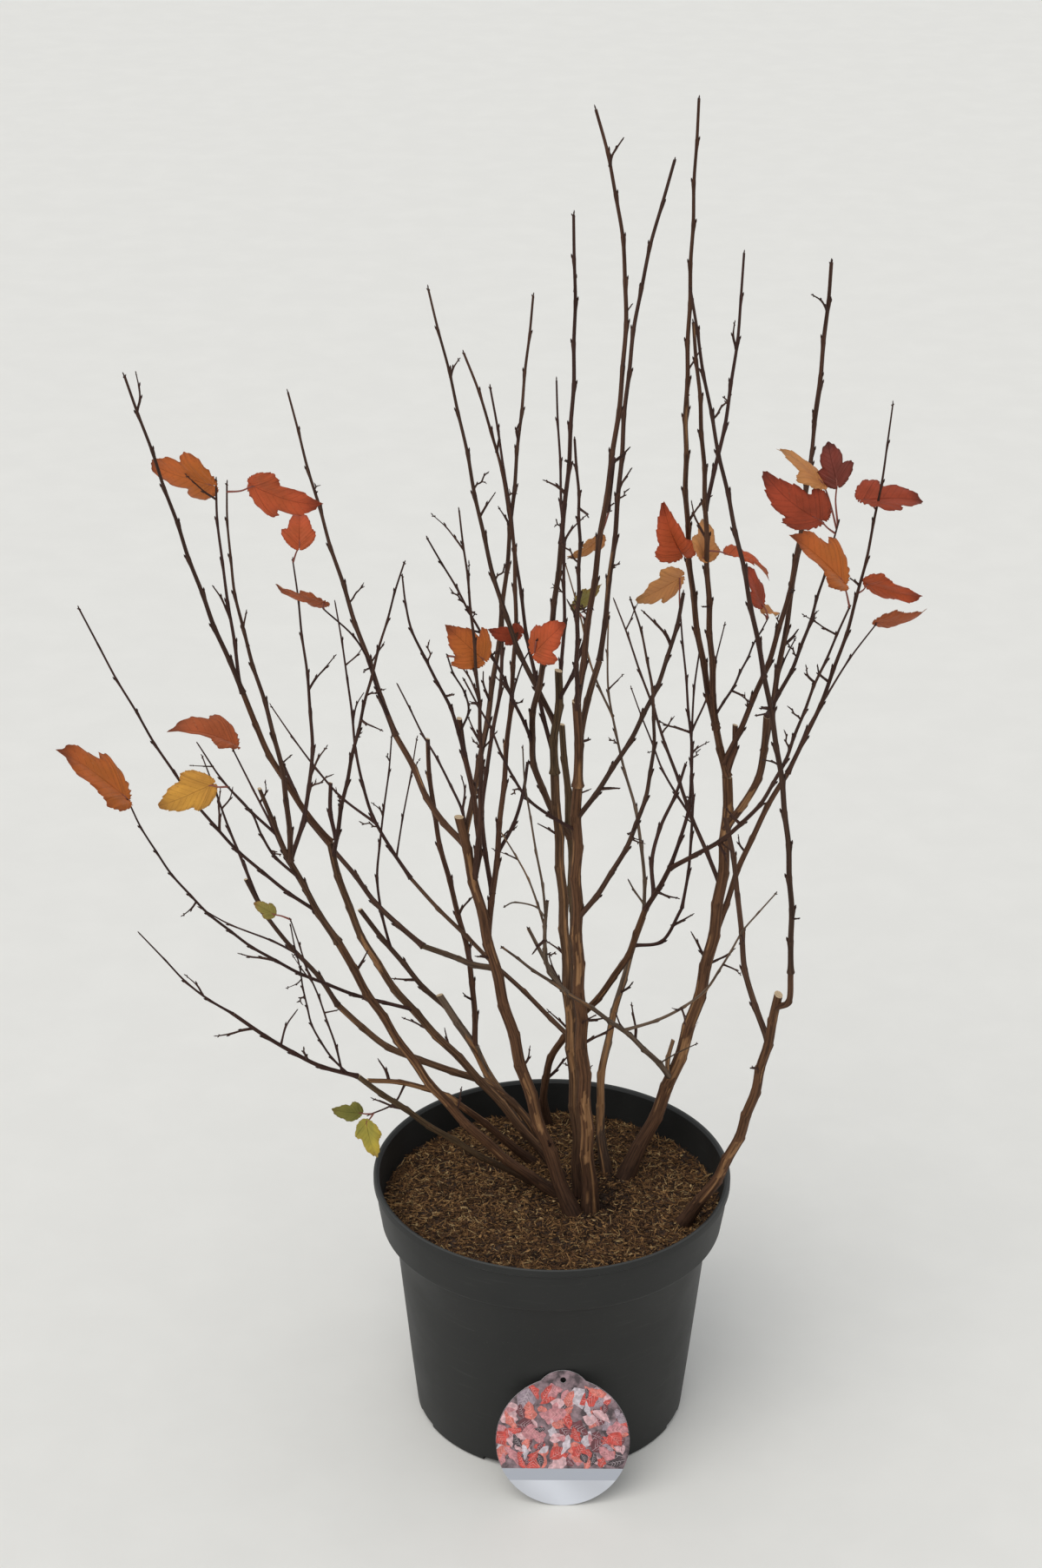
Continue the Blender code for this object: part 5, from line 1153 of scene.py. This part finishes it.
def addLeaf(bag, leaf, luck):
    base = pointOn(lines[leaf.on], leaf.share)
    foot = base + np.array(leaf.stalk) * mm
    blade = np.array(leaf.blade) * mm
    length = np.linalg.norm(blade)
    along = blade / length
    level = unit(np.cross(leafLook["faces"], along))
    turn = math.radians(leaf.turn)
    facing = math.cos(turn) * np.cross(along, level) + math.sin(turn) * level
    across = np.cross(facing, along)
    places, coarse, away = leafRings(luck)
    x, y, t = places[..., 0], places[..., 1], places[..., 2]
    reach = np.sqrt(x ** 2 + y ** 2)
    phase = luck.uniform(0, 6.28)
    ruffle = np.sin(7 * np.arctan2(y, x) + phase) * reach ** 2 + 0.5 * np.sin(17 * np.arctan2(y, x)) * t ** 4
    lift = luck.uniform(0.2, 1.0)
    quilt = 0.006 * np.cos(2 * math.pi * 7 * (x - 0.75 * np.abs(y))) * (1 - t ** 6)
    height = (
        leaf.fold * np.abs(y) - leaf.curl * np.clip(x, 0, None) ** 2 * (1 + 0.15 * t ** 4)
        + leafLook["ruffle"] * ruffle - leafLook["lobeDroop"] * lift * (np.abs(y) * 2) ** 2 * t ** 3 + quilt
    )
    hook = np.exp(-(away / 7) ** 2) * t ** 6  # the tip dries and hooks over
    height = height - (0.04 + 0.10 * leaf.curl) * hook
    wide = leafLook["width"]
    middle = (
        foot + length * (x[..., None] * along + wide * y[..., None] * across + height[..., None] * facing)
    )
    half = 0.5 * leafLook["thickness"] * facing
    rows, columns = x.shape
    top = np.vstack([(middle + half).reshape(-1, 3), [foot + half]])
    under = np.vstack([(middle - half).reshape(-1, 3), [foot - half]])
    grain = np.vstack([np.stack([x, y, reach], -1).reshape(-1, 3), [[0, 0, 0]]])
    marks = np.zeros((rows * columns + 1, 3))
    rim = t ** 9 * (0.25 + 0.65 * coarse) + hook
    marks[:-1, 0] = np.clip(rim, 0, 1).ravel()
    below = marks.copy()
    below[:, 1] = 1
    size = rows * columns + 1
    faces = []
    for row in range(rows - 1):
        for column in range(columns - 1):
            a = row * columns + column
            faces.append([a, a + columns, a + columns + 1, a + 1])
    for column in range(columns - 1):
        faces.append([size - 1, column, column + 1])
    faces += [[corner + size for corner in face[::-1]] for face in faces]
    edge = [size - 1] + [row * columns for row in range(rows)]
    edge += [(rows - 1) * columns + column for column in range(1, columns)]
    edge += [row * columns + columns - 1 for row in range(rows - 2, -1, -1)]
    for first, second in zip(edge, edge[1:] + edge[:1]):
        faces.append([second, first, first + size, second + size])
    bag.add(np.vstack([top, under]), faces, 0, np.vstack([grain, grain]), np.vstack([marks, below]))
    bend = 0.5 * (base + foot) + 0.10 * np.linalg.norm(foot - base) * unit(facing + along)
    stalk = np.array([base, bend, foot, foot + along * length * 0.16 + facing * length * -0.01])
    path, radius = smoothPath(stalk, np.array([0.8, 0.6, 0.55, 0.25]) * mm, 1.5 * mm)
    addTube(bag, path, radius, 7, 1)


def buildLeaves():
    luck = random.Random(5)
    stalk = plainMaterial("leaf stalk", (0.22, 0.055, 0.035), 0.5, 1500.0)
    made = {}
    for number, leaf in enumerate(leaves):
        if leaf.tint not in made:
            made[leaf.tint] = leafMaterial(leaf.tint, *tints[leaf.tint])
        bag = Bag()
        addLeaf(bag, leaf, luck)
        placePiece(bag.build(f"leaf_{number + 1:02d}_{leaf.on}", [made[leaf.tint], stalk], 60), "twigs")
    print("leaves built")


potShape = {
    "height": 210 * mm,
    "lipRadius": 140 * mm,
    "lipDrop": 7 * mm,
    "collarRadius": 137.6 * mm,
    "collarFootRadius": 134 * mm,
    "collarFootHeight": 169 * mm,
    "wallTopRadius": 124 * mm,
    "footRadius": 107 * mm,
    "wall": 2.2 * mm,
    "floor": 3 * mm,
    "steps": 192,
    "notches": 8,
    "notchSize": (26 * mm, 15 * mm, 4.4 * mm),
}
potLook = {
    "dark": (0.0145, 0.0150, 0.0142),
    "dusty": (0.0210, 0.0212, 0.0198),
    "scuff": (0.060, 0.060, 0.056),
    "speck": (0.110, 0.105, 0.095),
    "speckShare": 0.16,
    "edge": (0.070, 0.072, 0.070),
}


def arcPoints(centre, radius, start, end, count):
    # from one angle to another, in degrees, in the plane of radius and height
    angles = np.radians(np.linspace(start, end, count))
    return [(centre[0] + radius * math.cos(a), centre[1] + radius * math.sin(a)) for a in angles]


def potProfile():
    p = potShape
    wall, inside = p["wall"], p["footRadius"] - p["wall"]
    lip = p["lipRadius"] - 1.3 * mm
    foot = p["footRadius"] - 3 * mm
    points = [(0, p["floor"]), (inside - 2 * mm, p["floor"])]
    points += [(p["wallTopRadius"] - wall, p["collarFootHeight"] + wall)]
    points += [(p["collarFootRadius"] - wall, p["collarFootHeight"] + wall + 1.5 * mm)]
    points += [(p["collarRadius"] - wall, p["height"] - 2 * mm)]
    points += arcPoints((lip, p["height"] - 1.2 * mm), 1.2 * mm, 120, 0, 7)
    points += [(lip + 1.2 * mm, p["height"] - p["lipDrop"] + 1.2 * mm)]
    points += [(p["collarRadius"] + 0.2 * mm, p["height"] - p["lipDrop"] - 0.6 * mm)]
    points += [(p["collarRadius"] - 1.0 * mm, p["height"] - 22 * mm)]
    points += arcPoints((p["collarFootRadius"] - 3 * mm, p["collarFootHeight"] + 2.6 * mm), 3 * mm, 5, -80, 6)
    points += [(p["wallTopRadius"] + 1.5 * mm, p["collarFootHeight"] - 1.2 * mm)]
    points += [(p["wallTopRadius"] - 0.4 * mm, p["collarFootHeight"] - 4.5 * mm)]
    for share in (0.25, 0.5, 0.75):
        height = (1 - share) * (p["collarFootHeight"] - 4.5 * mm) + share * 3 * mm
        flare = (p["wallTopRadius"] - p["footRadius"]) * height / p["collarFootHeight"]
        points.append((p["footRadius"] + flare, height))
    points += arcPoints((foot, 3 * mm), 3 * mm, 0, -90, 7)
    points += [(0, 0)]
    return points


def buildPot():
    p = potShape
    profile = potProfile()
    work = bmesh.new()
    verts = [work.verts.new((radius, 0, height)) for radius, height in profile]
    for first, second in zip(verts, verts[1:]):
        work.edges.new((first, second))
    mesh = bpy.data.meshes.new("pot_shell")
    work.to_mesh(mesh)
    work.free()
    pot = bpy.data.objects.new("pot_shell", mesh)
    bpy.context.scene.collection.objects.link(pot)
    turn = pot.modifiers.new("turn", "SCREW")
    turn.steps = turn.render_steps = p["steps"]
    turn.use_merge_vertices = True
    turn.merge_threshold = 0.00001
    turn.use_normal_calculate = True
    cutters = bpy.data.collections.new("notch_cutters")
    bpy.context.scene.collection.children.link(cutters)
    for index in range(p["notches"]):
        angle = 2 * math.pi * (index + 0.5) / p["notches"]
        bpy.ops.mesh.primitive_cube_add(size=1)
        cutter = bpy.context.active_object
        bpy.context.scene.collection.objects.unlink(cutter)
        cutters.objects.link(cutter)
        cutter.scale = (p["notchSize"][1], p["notchSize"][0], 2 * p["notchSize"][2])
        cutter.rotation_euler = (0, 0, angle)
        cutter.location = (p["footRadius"] * math.cos(angle), p["footRadius"] * math.sin(angle), 0)
    cut = pot.modifiers.new("notches", "BOOLEAN")
    cut.operation = "DIFFERENCE"
    cut.operand_type = "COLLECTION"
    cut.collection = cutters
    cut.solver = "EXACT"
    graph = bpy.context.evaluated_depsgraph_get()
    pot.data = bpy.data.meshes.new_from_object(pot.evaluated_get(graph))
    pot.modifiers.clear()
    for cutter in list(cutters.objects):
        bpy.data.objects.remove(cutter, do_unlink=True)
    bpy.data.collections.remove(cutters)
    pot.data.shade_smooth()
    pot.data.set_sharp_from_angle(angle=math.radians(35))
    pot.data.materials.clear()
    pot.data.materials.append(potMaterial())
    placePiece(pot, "pot", "pot")
    print("pot built")


def potMaterial():
    # matt black moulded plastic with patches of dust, fine flow lines and pale scuffs; the top of the lip is
    # lighter, partly dust and partly a painted highlight
    material, tree, shader = newMaterial("pot plastic", 0.5, Specular_IOR_Level=0.28)
    grain = useGroup(tree, "speckle", Fineness=2400.0, Threshold=0.45, Softness=0.3)
    dust = useGroup(tree, "speckle", Fineness=19.0, Threshold=0.38, Softness=0.35)
    specks = useGroup(tree, "speckle", Fineness=760.0, Threshold=0.66, Softness=0.05)
    place = node(tree, "ShaderNodeTexCoord")
    split = node(tree, "ShaderNodeSeparateXYZ", {0: place.outputs["Object"]})
    dusty = mixColours(tree, dust.outputs["Mask"], (*potLook["dark"], 1), (*potLook["dusty"], 1))
    stretched = node(tree, "ShaderNodeMapping", {0: place.outputs["Object"], 3: (26.0, 26.0, 420.0)})
    rubbed = node(tree, "ShaderNodeTexNoise", {"Vector": stretched.outputs[0], "Scale": 1.0, "Detail": 3.0})
    wear = mathNode(tree, "MULTIPLY", mathNode(tree, "SUBTRACT", rubbed.outputs[0], 0.60), 7.0, clamp=True)
    few = mathNode(tree, "MULTIPLY", wear, dust.outputs["Mask"])
    worn = mixColours(tree, mathNode(tree, "MULTIPLY", few, 0.30), dusty, (*potLook["scuff"], 1))
    dotted = mathNode(tree, "MULTIPLY", specks.outputs["Mask"], potLook["speckShare"])
    marked = mixColours(tree, dotted, worn, (*potLook["speck"], 1))
    # the top of the lip is painted lighter: partly dust, partly a painted highlight where the rounded rim faces
    # the light
    lipHighlightAndDustStart = potShape["height"] - 0.9 * mm
    top = mathNode(tree, "MULTIPLY_ADD", split.outputs[2], 1500.0, -1500.0 * lipHighlightAndDustStart, clamp=True)
    rimmed = mixColours(tree, mathNode(tree, "MULTIPLY", top, 0.5), marked, (*potLook["edge"], 1))
    tree.links.new(rimmed, shader.inputs["Base Color"])
    rough = mathNode(tree, "MULTIPLY_ADD", dust.outputs["Mask"], 0.12, 0.48)
    tree.links.new(rough, shader.inputs["Roughness"])
    bumpInto(tree, shader, grain.outputs["Height"], 0.22, 0.00018)
    return material


soilLook = {
    "top": 184.8 * mm,
    "edgeTop": 181.5 * mm,
    "radius": 133.2 * mm,
    "hollow": (30 * mm, -6 * mm, 30 * mm, 3.5 * mm),
    "roughness": 2.4 * mm,
    "bed": (0.040, 0.019, 0.009),
    "chips": 6000,
    "fibres": 9500,
    "deepest": 1.2 * mm,
}
# The colour of each kind of bit, with its share of the chips and of the fibres.
chipKinds = {
    "dark_chips": ((0.026, 0.013, 0.007), 0.30, 0.08),
    "brown_chips": ((0.085, 0.042, 0.019), 0.36, 0.30),
    "rust_chips": ((0.160, 0.080, 0.032), 0.20, 0.29),
    "tan_chips": ((0.300, 0.165, 0.065), 0.11, 0.25),
    "pale_chips": ((0.430, 0.290, 0.135), 0.03, 0.08),
}


def soilHeight(x, y):
    x, y = np.asarray(x, float), np.asarray(y, float)
    reach = np.sqrt(x ** 2 + y ** 2) / soilLook["radius"]
    height = soilLook["top"] + (soilLook["edgeTop"] - soilLook["top"]) * reach ** 3
    hx, hy, wide, deep = soilLook["hollow"]
    height = height - deep * np.exp(-((x - hx) ** 2 + (y - hy) ** 2) / wide ** 2)
    places = np.stack([x / (11 * mm) + 50, y / (11 * mm) + 50, np.zeros_like(x)], -1)
    small = np.stack([x / (3.2 * mm) + 90, y / (3.2 * mm) + 90, np.zeros_like(x) + 5], -1)
    lumps = (latticeNoise(places, 3) - 0.5) + 0.45 * (latticeNoise(small, 4) - 0.5)
    return height + soilLook["roughness"] * lumps


def soilBed():
    rings, columns = 80, 220
    angle = np.linspace(0, 2 * math.pi, columns, endpoint=False)
    rows = []
    for ring in range(1, rings + 1):
        reach = soilLook["radius"] * ring / rings
        x, y = reach * np.cos(angle), reach * np.sin(angle)
        rows.append(np.stack([x, y, soilHeight(x, y)], -1))
    below = rows[-1].copy()
    below[:, 2] = 176 * mm
    verts = np.vstack([np.vstack(rows), below, [[0, 0, float(soilHeight(0, 0))]], [[0, 0, 176 * mm]]])
    faces = gridFaces(rings + 1, columns)
    centre, under = len(verts) - 2, len(verts) - 1
    for column in range(columns):
        after = (column + 1) % columns
        faces.append([after, column, centre][::-1])
        faces.append([rings * columns + column, rings * columns + after, under][::-1])
    bag = Bag()
    bag.add(verts, [face[::-1] for face in faces])
    bed = plainMaterial("potting mix", soilLook["bed"], 0.95, 420.0, 0.6, 0.9, 0.0012)
    placePiece(bag.build("soil_bed", [bed]), "soil", "soil")


def buildSoil():
    # chips of bark and short curved fibres, strewn over the bed and half sunk in it
    soilBed()
    luck = np.random.default_rng(11)
    total = soilLook["chips"] + soilLook["fibres"]
    reach = (soilLook["radius"] - 2.5 * mm) * np.sqrt(luck.random(total))
    turn = luck.random(total) * 2 * math.pi
    x, y = reach * np.cos(turn), reach * np.sin(turn)
    fibre = np.arange(total) >= soilLook["chips"]
    shares = np.array([row[1:] for row in chipKinds.values()])
    chip = luck.choice(len(shares), total, p=shares[:, 0])
    kind = np.where(fibre, luck.choice(len(shares), total, p=shares[:, 1]), chip)
    hx, hy, wide, _ = soilLook["hollow"]
    crown = np.exp(-((x - hx) ** 2 + (y - hy) ** 2) / wide ** 2)
    kind = np.where(luck.random(total) < 0.7 * crown, 0, kind)  # more dark chips round the crown, in its hollow
    length = np.where(fibre, luck.uniform(5, 14, total), luck.uniform(2.0, 6.5, total)) * mm
    width = np.where(fibre, luck.uniform(0.28, 0.75, total), luck.uniform(0.8, 2.4, total)) * mm
    thick = np.where(fibre, width, luck.uniform(0.3, 0.9, total) * mm)
    heading = luck.random(total) * 2 * math.pi
    rise = luck.normal(0, 0.26, total)
    roll = luck.normal(0, 0.4, total)
    bend = luck.normal(0, 0.25, total)
    z = soilHeight(x, y) + luck.uniform(-0.1, 1, total) * soilLook["deepest"]
    along = np.stack([np.cos(heading) * np.cos(rise), np.sin(heading) * np.cos(rise), np.sin(rise)], -1)
    level = np.stack([-np.sin(heading), np.cos(heading), np.zeros(total)], -1)
    up = np.cross(along, level)
    level = np.cos(roll)[:, None] * level + np.sin(roll)[:, None] * up
    up = np.cross(along, level)
    centre = np.stack([x, y, z], -1)
    rows = []
    for t, taper in ((-0.5, 0.35), (0.0, 1.0), (0.5, 0.3)):
        arch = -bend[:, None] * length[:, None] * (4 * t * t) * level * 0.5
        spine = centre + along * (t * length)[:, None] + arch
        for side, lift in ((-1, -0.5), (1, -0.5), (1, 0.5), (-1, 0.5)):
            rows.append(spine + level * (0.5 * side * taper * width)[:, None] + up * (lift * thick)[:, None])
    corners = np.stack(rows, 1)
    reachOut = np.linalg.norm(corners[..., :2], axis=-1, keepdims=True)
    corners[..., :2] *= np.minimum(1, (soilLook["radius"] - 0.3 * mm) / reachOut)
    shape = gridFaces(3, 4) + [[3, 2, 1, 0], [8, 9, 10, 11]]
    for number, (name, (colour, _, _)) in enumerate(chipKinds.items()):
        bag = Bag()
        for one in corners[kind == number]:
            bag.add(one, shape)
        material = plainMaterial(name.replace("_", " "), colour, 0.85, 480.0, 0.45, Specular_IOR_Level=0.2)
        placePiece(bag.build("soil_" + name, [material], 30), "soil")
    print("soil built")


labelShape = {
    "radius": 51.5 * mm,
    "tabRadius": 21.7 * mm,
    "tabRise": 35.3 * mm,
    "holeRadius": 2.3 * mm,
    "holeRise": 49.2 * mm,
    "thickness": 0.7 * mm,
    "centreX": 9 * mm,
    "lean": math.radians(16),
    "gap": 0.3 * mm,
    "slack": 0.1 * mm,
}
# The print: leaves strewn in layers above two pale bands, the lower one with a painted sheen.
printLook = {
    "bandTop": -21.8 * mm,
    "stripeLow": -31.3 * mm,
    "leaves": 220,
    "margin": 0.4 * mm,
    "length": (8 * mm, 19 * mm),
    "layer": 0.0015 * mm,
    "ground": ((0.055, 0.035, 0.040), (0.30, 0.20, 0.22)),
    "band": (0.40, 0.42, 0.47),
    "stripe": (0.66, 0.68, 0.73),
    "colours": {
        "scarlet": (0.56, 0.060, 0.045),
        "coral": (0.66, 0.17, 0.13),
        "rose": (0.55, 0.22, 0.24),
        "blush": (0.68, 0.42, 0.44),
        "mauve grey": (0.33, 0.25, 0.29),
        "pale grey": (0.58, 0.50, 0.54),
        "wine": (0.16, 0.040, 0.050),
        "shade": (0.060, 0.038, 0.045),
    },
    "shares": (0.19, 0.15, 0.15, 0.11, 0.12, 0.08, 0.11, 0.09),
}


def labelPlace():
    s = labelShape
    half = s["thickness"] / 2
    top = s["tabRise"] + s["tabRadius"]
    footZ = s["gap"] + half * math.sin(s["lean"])
    topZ = footZ + (s["radius"] + top) * math.cos(s["lean"])
    p = potShape
    wall = p["footRadius"] + (p["wallTopRadius"] - p["footRadius"]) * topZ / p["collarFootHeight"]
    front = math.sqrt(wall ** 2 - s["centreX"] ** 2) + s["gap"] + half / math.cos(s["lean"]) + s["slack"]
    turn = Matrix.Rotation(math.pi / 2 - s["lean"], 4, "X")
    place = Vector((s["centreX"], -front - top * math.sin(s["lean"]), footZ + s["radius"] * math.cos(s["lean"])))
    return Matrix.Translation(place) @ turn


def buildLabel():
    s = labelShape
    bpy.ops.mesh.primitive_cylinder_add(vertices=160, radius=s["radius"], depth=s["thickness"])
    label = bpy.context.active_object
    label.name = "label_card"
    bpy.ops.mesh.primitive_cylinder_add(
        vertices=96, radius=s["tabRadius"], depth=s["thickness"], location=(0, s["tabRise"], 0))
    tab = bpy.context.active_object
    bpy.ops.mesh.primitive_cylinder_add(
        vertices=32, radius=s["holeRadius"], depth=5 * s["thickness"], location=(0, s["holeRise"], 0))
    hole = bpy.context.active_object
    for operation, other in (("UNION", tab), ("DIFFERENCE", hole)):
        step = label.modifiers.new(operation, "BOOLEAN")
        step.operation = operation
        step.object = other
        step.solver = "EXACT"
    graph = bpy.context.evaluated_depsgraph_get()
    label.data = bpy.data.meshes.new_from_object(label.evaluated_get(graph))
    label.modifiers.clear()
    for other in (tab, hole):
        bpy.data.objects.remove(other, do_unlink=True)
    label.data.materials.clear()
    label.data.materials.append(labelMaterial())
    label.data.materials.append(plainMaterial("label back", (0.66, 0.66, 0.67), 0.4, 900.0, 0.05, 0.1))
    for face in label.data.polygons:
        face.material_index = 0 if face.normal.z > 0.5 else 1
    bevel = label.modifiers.new("edge", "BEVEL")
    bevel.width = 0.12 * mm
    bevel.segments = 2
    bevel.limit_method = "ANGLE"
    label.matrix_world = labelPlace()
    placePiece(label, "label", "label")
    printLeaves()
    print("label built")


def labelMaterial():
    # a soft blurred ground for the leaves, and two pale bands under them: the upper one plain, the lower one
    # with a painted sheen in diagonal waves
    material, tree, shader = newMaterial("label card", 0.34, Coat_Weight=0.35, Coat_Roughness=0.18)
    place = node(tree, "ShaderNodeTexCoord")
    split = node(tree, "ShaderNodeSeparateXYZ", {0: place.outputs["Object"]})
    blur = useGroup(tree, "speckle", Fineness=150.0, Threshold=0.36, Softness=0.28)
    dark, light = printLook["ground"]
    ground = mixColours(tree, blur.outputs["Mask"], (*dark, 1), (*light, 1))
    # painted sheen: diagonal waves of lighter and darker grey across the lower stripe, standing in for its
    # reflection
    sheen = node(tree, "ShaderNodeTexWave", {"Vector": place.outputs["Object"], "Scale": 9.0, "Distortion": 3.0},
                 bands_direction="DIAGONAL")
    silver = tuple(0.8 * c for c in printLook["stripe"])
    stripe = mixColours(tree, sheen.outputs["Fac"], (*silver, 1), (*printLook["stripe"], 1))
    height = split.outputs[1]
    onStripe = mathNode(tree, "LESS_THAN", height, printLook["stripeLow"])
    pale = mixColours(tree, onStripe, (*printLook["band"], 1), stripe)
    shown = mixColours(tree, mathNode(tree, "LESS_THAN", height, printLook["bandTop"]), ground, pale)
    tree.links.new(shown, shader.inputs["Base Color"])
    return material


def insidePicture(place):
    # the nearest place within the round card or its tab
    s = labelShape
    kept = []
    for centre, radius in (((0, 0), s["radius"]), ((0, s["tabRise"]), s["tabRadius"])):
        away = place - np.array(centre)
        reach = np.maximum(np.linalg.norm(away, axis=1, keepdims=True), 0.01 * mm)
        kept.append(np.array(centre) + away * np.minimum(1, (radius - printLook["margin"]) / reach))
    onCard, onTab = kept
    nearCard = np.linalg.norm(onCard - place, axis=1) <= np.linalg.norm(onTab - place, axis=1)
    return np.where(nearCard[:, None], onCard, onTab)


def printedLeaf(bag, middle, length, turn, wide, lobes, slot, level):
    # one flat lobed leaf with fine pale veins, kept inside the picture's edge
    steps = 15
    t = np.linspace(0, 1, steps)
    half = wide * length * np.sin(math.pi * t ** 0.8) * (1 + 0.22 * np.sin(lobes * math.pi * t))
    along = np.array([math.cos(turn), math.sin(turn)])
    across = np.array([-along[1], along[0]])

    def flat(place, height):
        place = np.array(place)
        place[:, 1] = np.maximum(place[:, 1], printLook["bandTop"])
        return np.hstack([insidePicture(place), np.full((len(place), 1), height)])

    bow = 0.08 * length * np.sin(math.pi * t)[:, None] * across
    spine = middle + along * (t[:, None] - 0.5) * length + bow
    rows = [spine + across * half[:, None] * side for side in (-1, 0, 1)]
    verts = np.stack([flat(row, level) for row in rows], 1)
    bag.add(verts, gridFaces(steps, 3, False), slot)
    thin = 0.012 * length + 0.05 * mm
    veins = [(spine[0], spine[-1])]
    for at in (3, 5, 7, 9):
        for side in (-1, 1):
            out = spine[at] + (along * 0.9 + across * side) * half[at] * 0.72
            veins.append((spine[at], out))
    for start, end in veins:
        direction = unit(end - start)
        sideways = np.array([-direction[1], direction[0]]) * thin * 0.5
        strip = flat([start - sideways, start + sideways, end + 0.3 * sideways, end - 0.3 * sideways],
                     level + 0.4 * printLook["layer"])
        bag.add(strip, [[0, 3, 2, 1]], len(printLook["colours"]) + (slot > 3))


def printLeaves():
    luck = random.Random(23)
    bag = Bag()
    count = printLook["leaves"]
    front = labelShape["thickness"] / 2 + 0.02 * mm
    kinds = range(len(printLook["colours"]))
    for number in range(count):
        reach = (labelShape["tabRise"] + labelShape["tabRadius"]) * math.sqrt(luck.random())
        angle = luck.uniform(0, 2 * math.pi)
        middle = np.array([reach * math.cos(angle), reach * math.sin(angle)])
        length = luck.uniform(*printLook["length"])
        turn = luck.uniform(0, 2 * math.pi)
        wide = luck.uniform(0.16, 0.36)
        lobes = luck.choice((1, 3, 5))
        slot = luck.choices(kinds, printLook["shares"])[0]
        onPicture = np.linalg.norm(insidePicture(middle[None])[0] - middle) < 0.1 * mm
        fromHole = np.linalg.norm(middle - np.array((0, labelShape["holeRise"])))
        if not onPicture or middle[1] < printLook["bandTop"] + 2 * mm:
            continue
        if fromHole < 0.5 * length + labelShape["holeRadius"]:
            continue
        printedLeaf(bag, middle, length, turn, wide, lobes, slot, front + number * printLook["layer"])
    materials = []
    for name, colour in printLook["colours"].items():
        materials.append(plainMaterial("print " + name, colour, 0.34, 330.0, 0.3, 0.0,
                                       Coat_Weight=0.35, Coat_Roughness=0.18))
    for name, colour in (("bright veins", (0.74, 0.40, 0.38)), ("pale veins", (0.60, 0.50, 0.52))):
        materials.append(plainMaterial("print " + name, colour, 0.34))
    sheet = bag.build("label_print", materials)
    sheet.matrix_world = labelPlace()
    placePiece(sheet, "label")


stageLook = {
    "floorSize": 30.0,
    "floorColour": (0.80, 0.785, 0.745),
    "skyColour": (0.94, 0.97, 1.0),
    "skyStrength": 0.66,
    "sunFrom": (-0.45, -0.62, 1.0),
    "sunColour": (1.0, 0.985, 0.96),
    "sunStrength": 1.35,
    "sunSpread": 55,
}


def buildStage():
    bpy.ops.mesh.primitive_plane_add(size=stageLook["floorSize"])
    floor = bpy.context.active_object
    floor.name = "studio_floor"
    floor.data.materials.append(plainMaterial("studio floor", stageLook["floorColour"], 0.75, 14.0, 0.012, 0.05))
    world = bpy.data.worlds.new("studio")
    world.use_nodes = True
    world.node_tree.nodes["Background"].inputs[0].default_value = (*stageLook["skyColour"], 1)
    world.node_tree.nodes["Background"].inputs[1].default_value = stageLook["skyStrength"]
    bpy.context.scene.world = world
    light = bpy.data.lights.new("key", "SUN")
    light.energy = stageLook["sunStrength"]
    light.angle = math.radians(stageLook["sunSpread"])
    light.color = stageLook["sunColour"]
    lamp = bpy.data.objects.new("key", light)
    lamp.rotation_euler = Vector(stageLook["sunFrom"]).to_track_quat("Z", "Y").to_euler()
    bpy.context.scene.collection.objects.link(lamp)
    bpy.context.scene.view_settings.view_transform = "Standard"


cameraLook = {"lens": 71.24, "place": (-0.026, -2.072, 1.522), "down": 25.26, "roll": 0.34}


def buildCamera():
    data = bpy.data.cameras.new("camera")
    data.lens = cameraLook["lens"]
    data.sensor_width = 36
    camera = bpy.data.objects.new("camera", data)
    turn = Matrix.Rotation(math.radians(90 - cameraLook["down"]), 4, "X")
    turn = turn @ Matrix.Rotation(math.radians(cameraLook["roll"]), 4, "Z")
    camera.matrix_world = Matrix.Translation(cameraLook["place"]) @ turn
    bpy.context.scene.collection.objects.link(camera)
    bpy.context.scene.camera = camera


layOut()
buildCamera()
buildStage()
buildPot()
buildSoil()
buildLabel()
buildCanes()
buildStrips()
buildSprays()
buildTwigs()
buildLeaves()
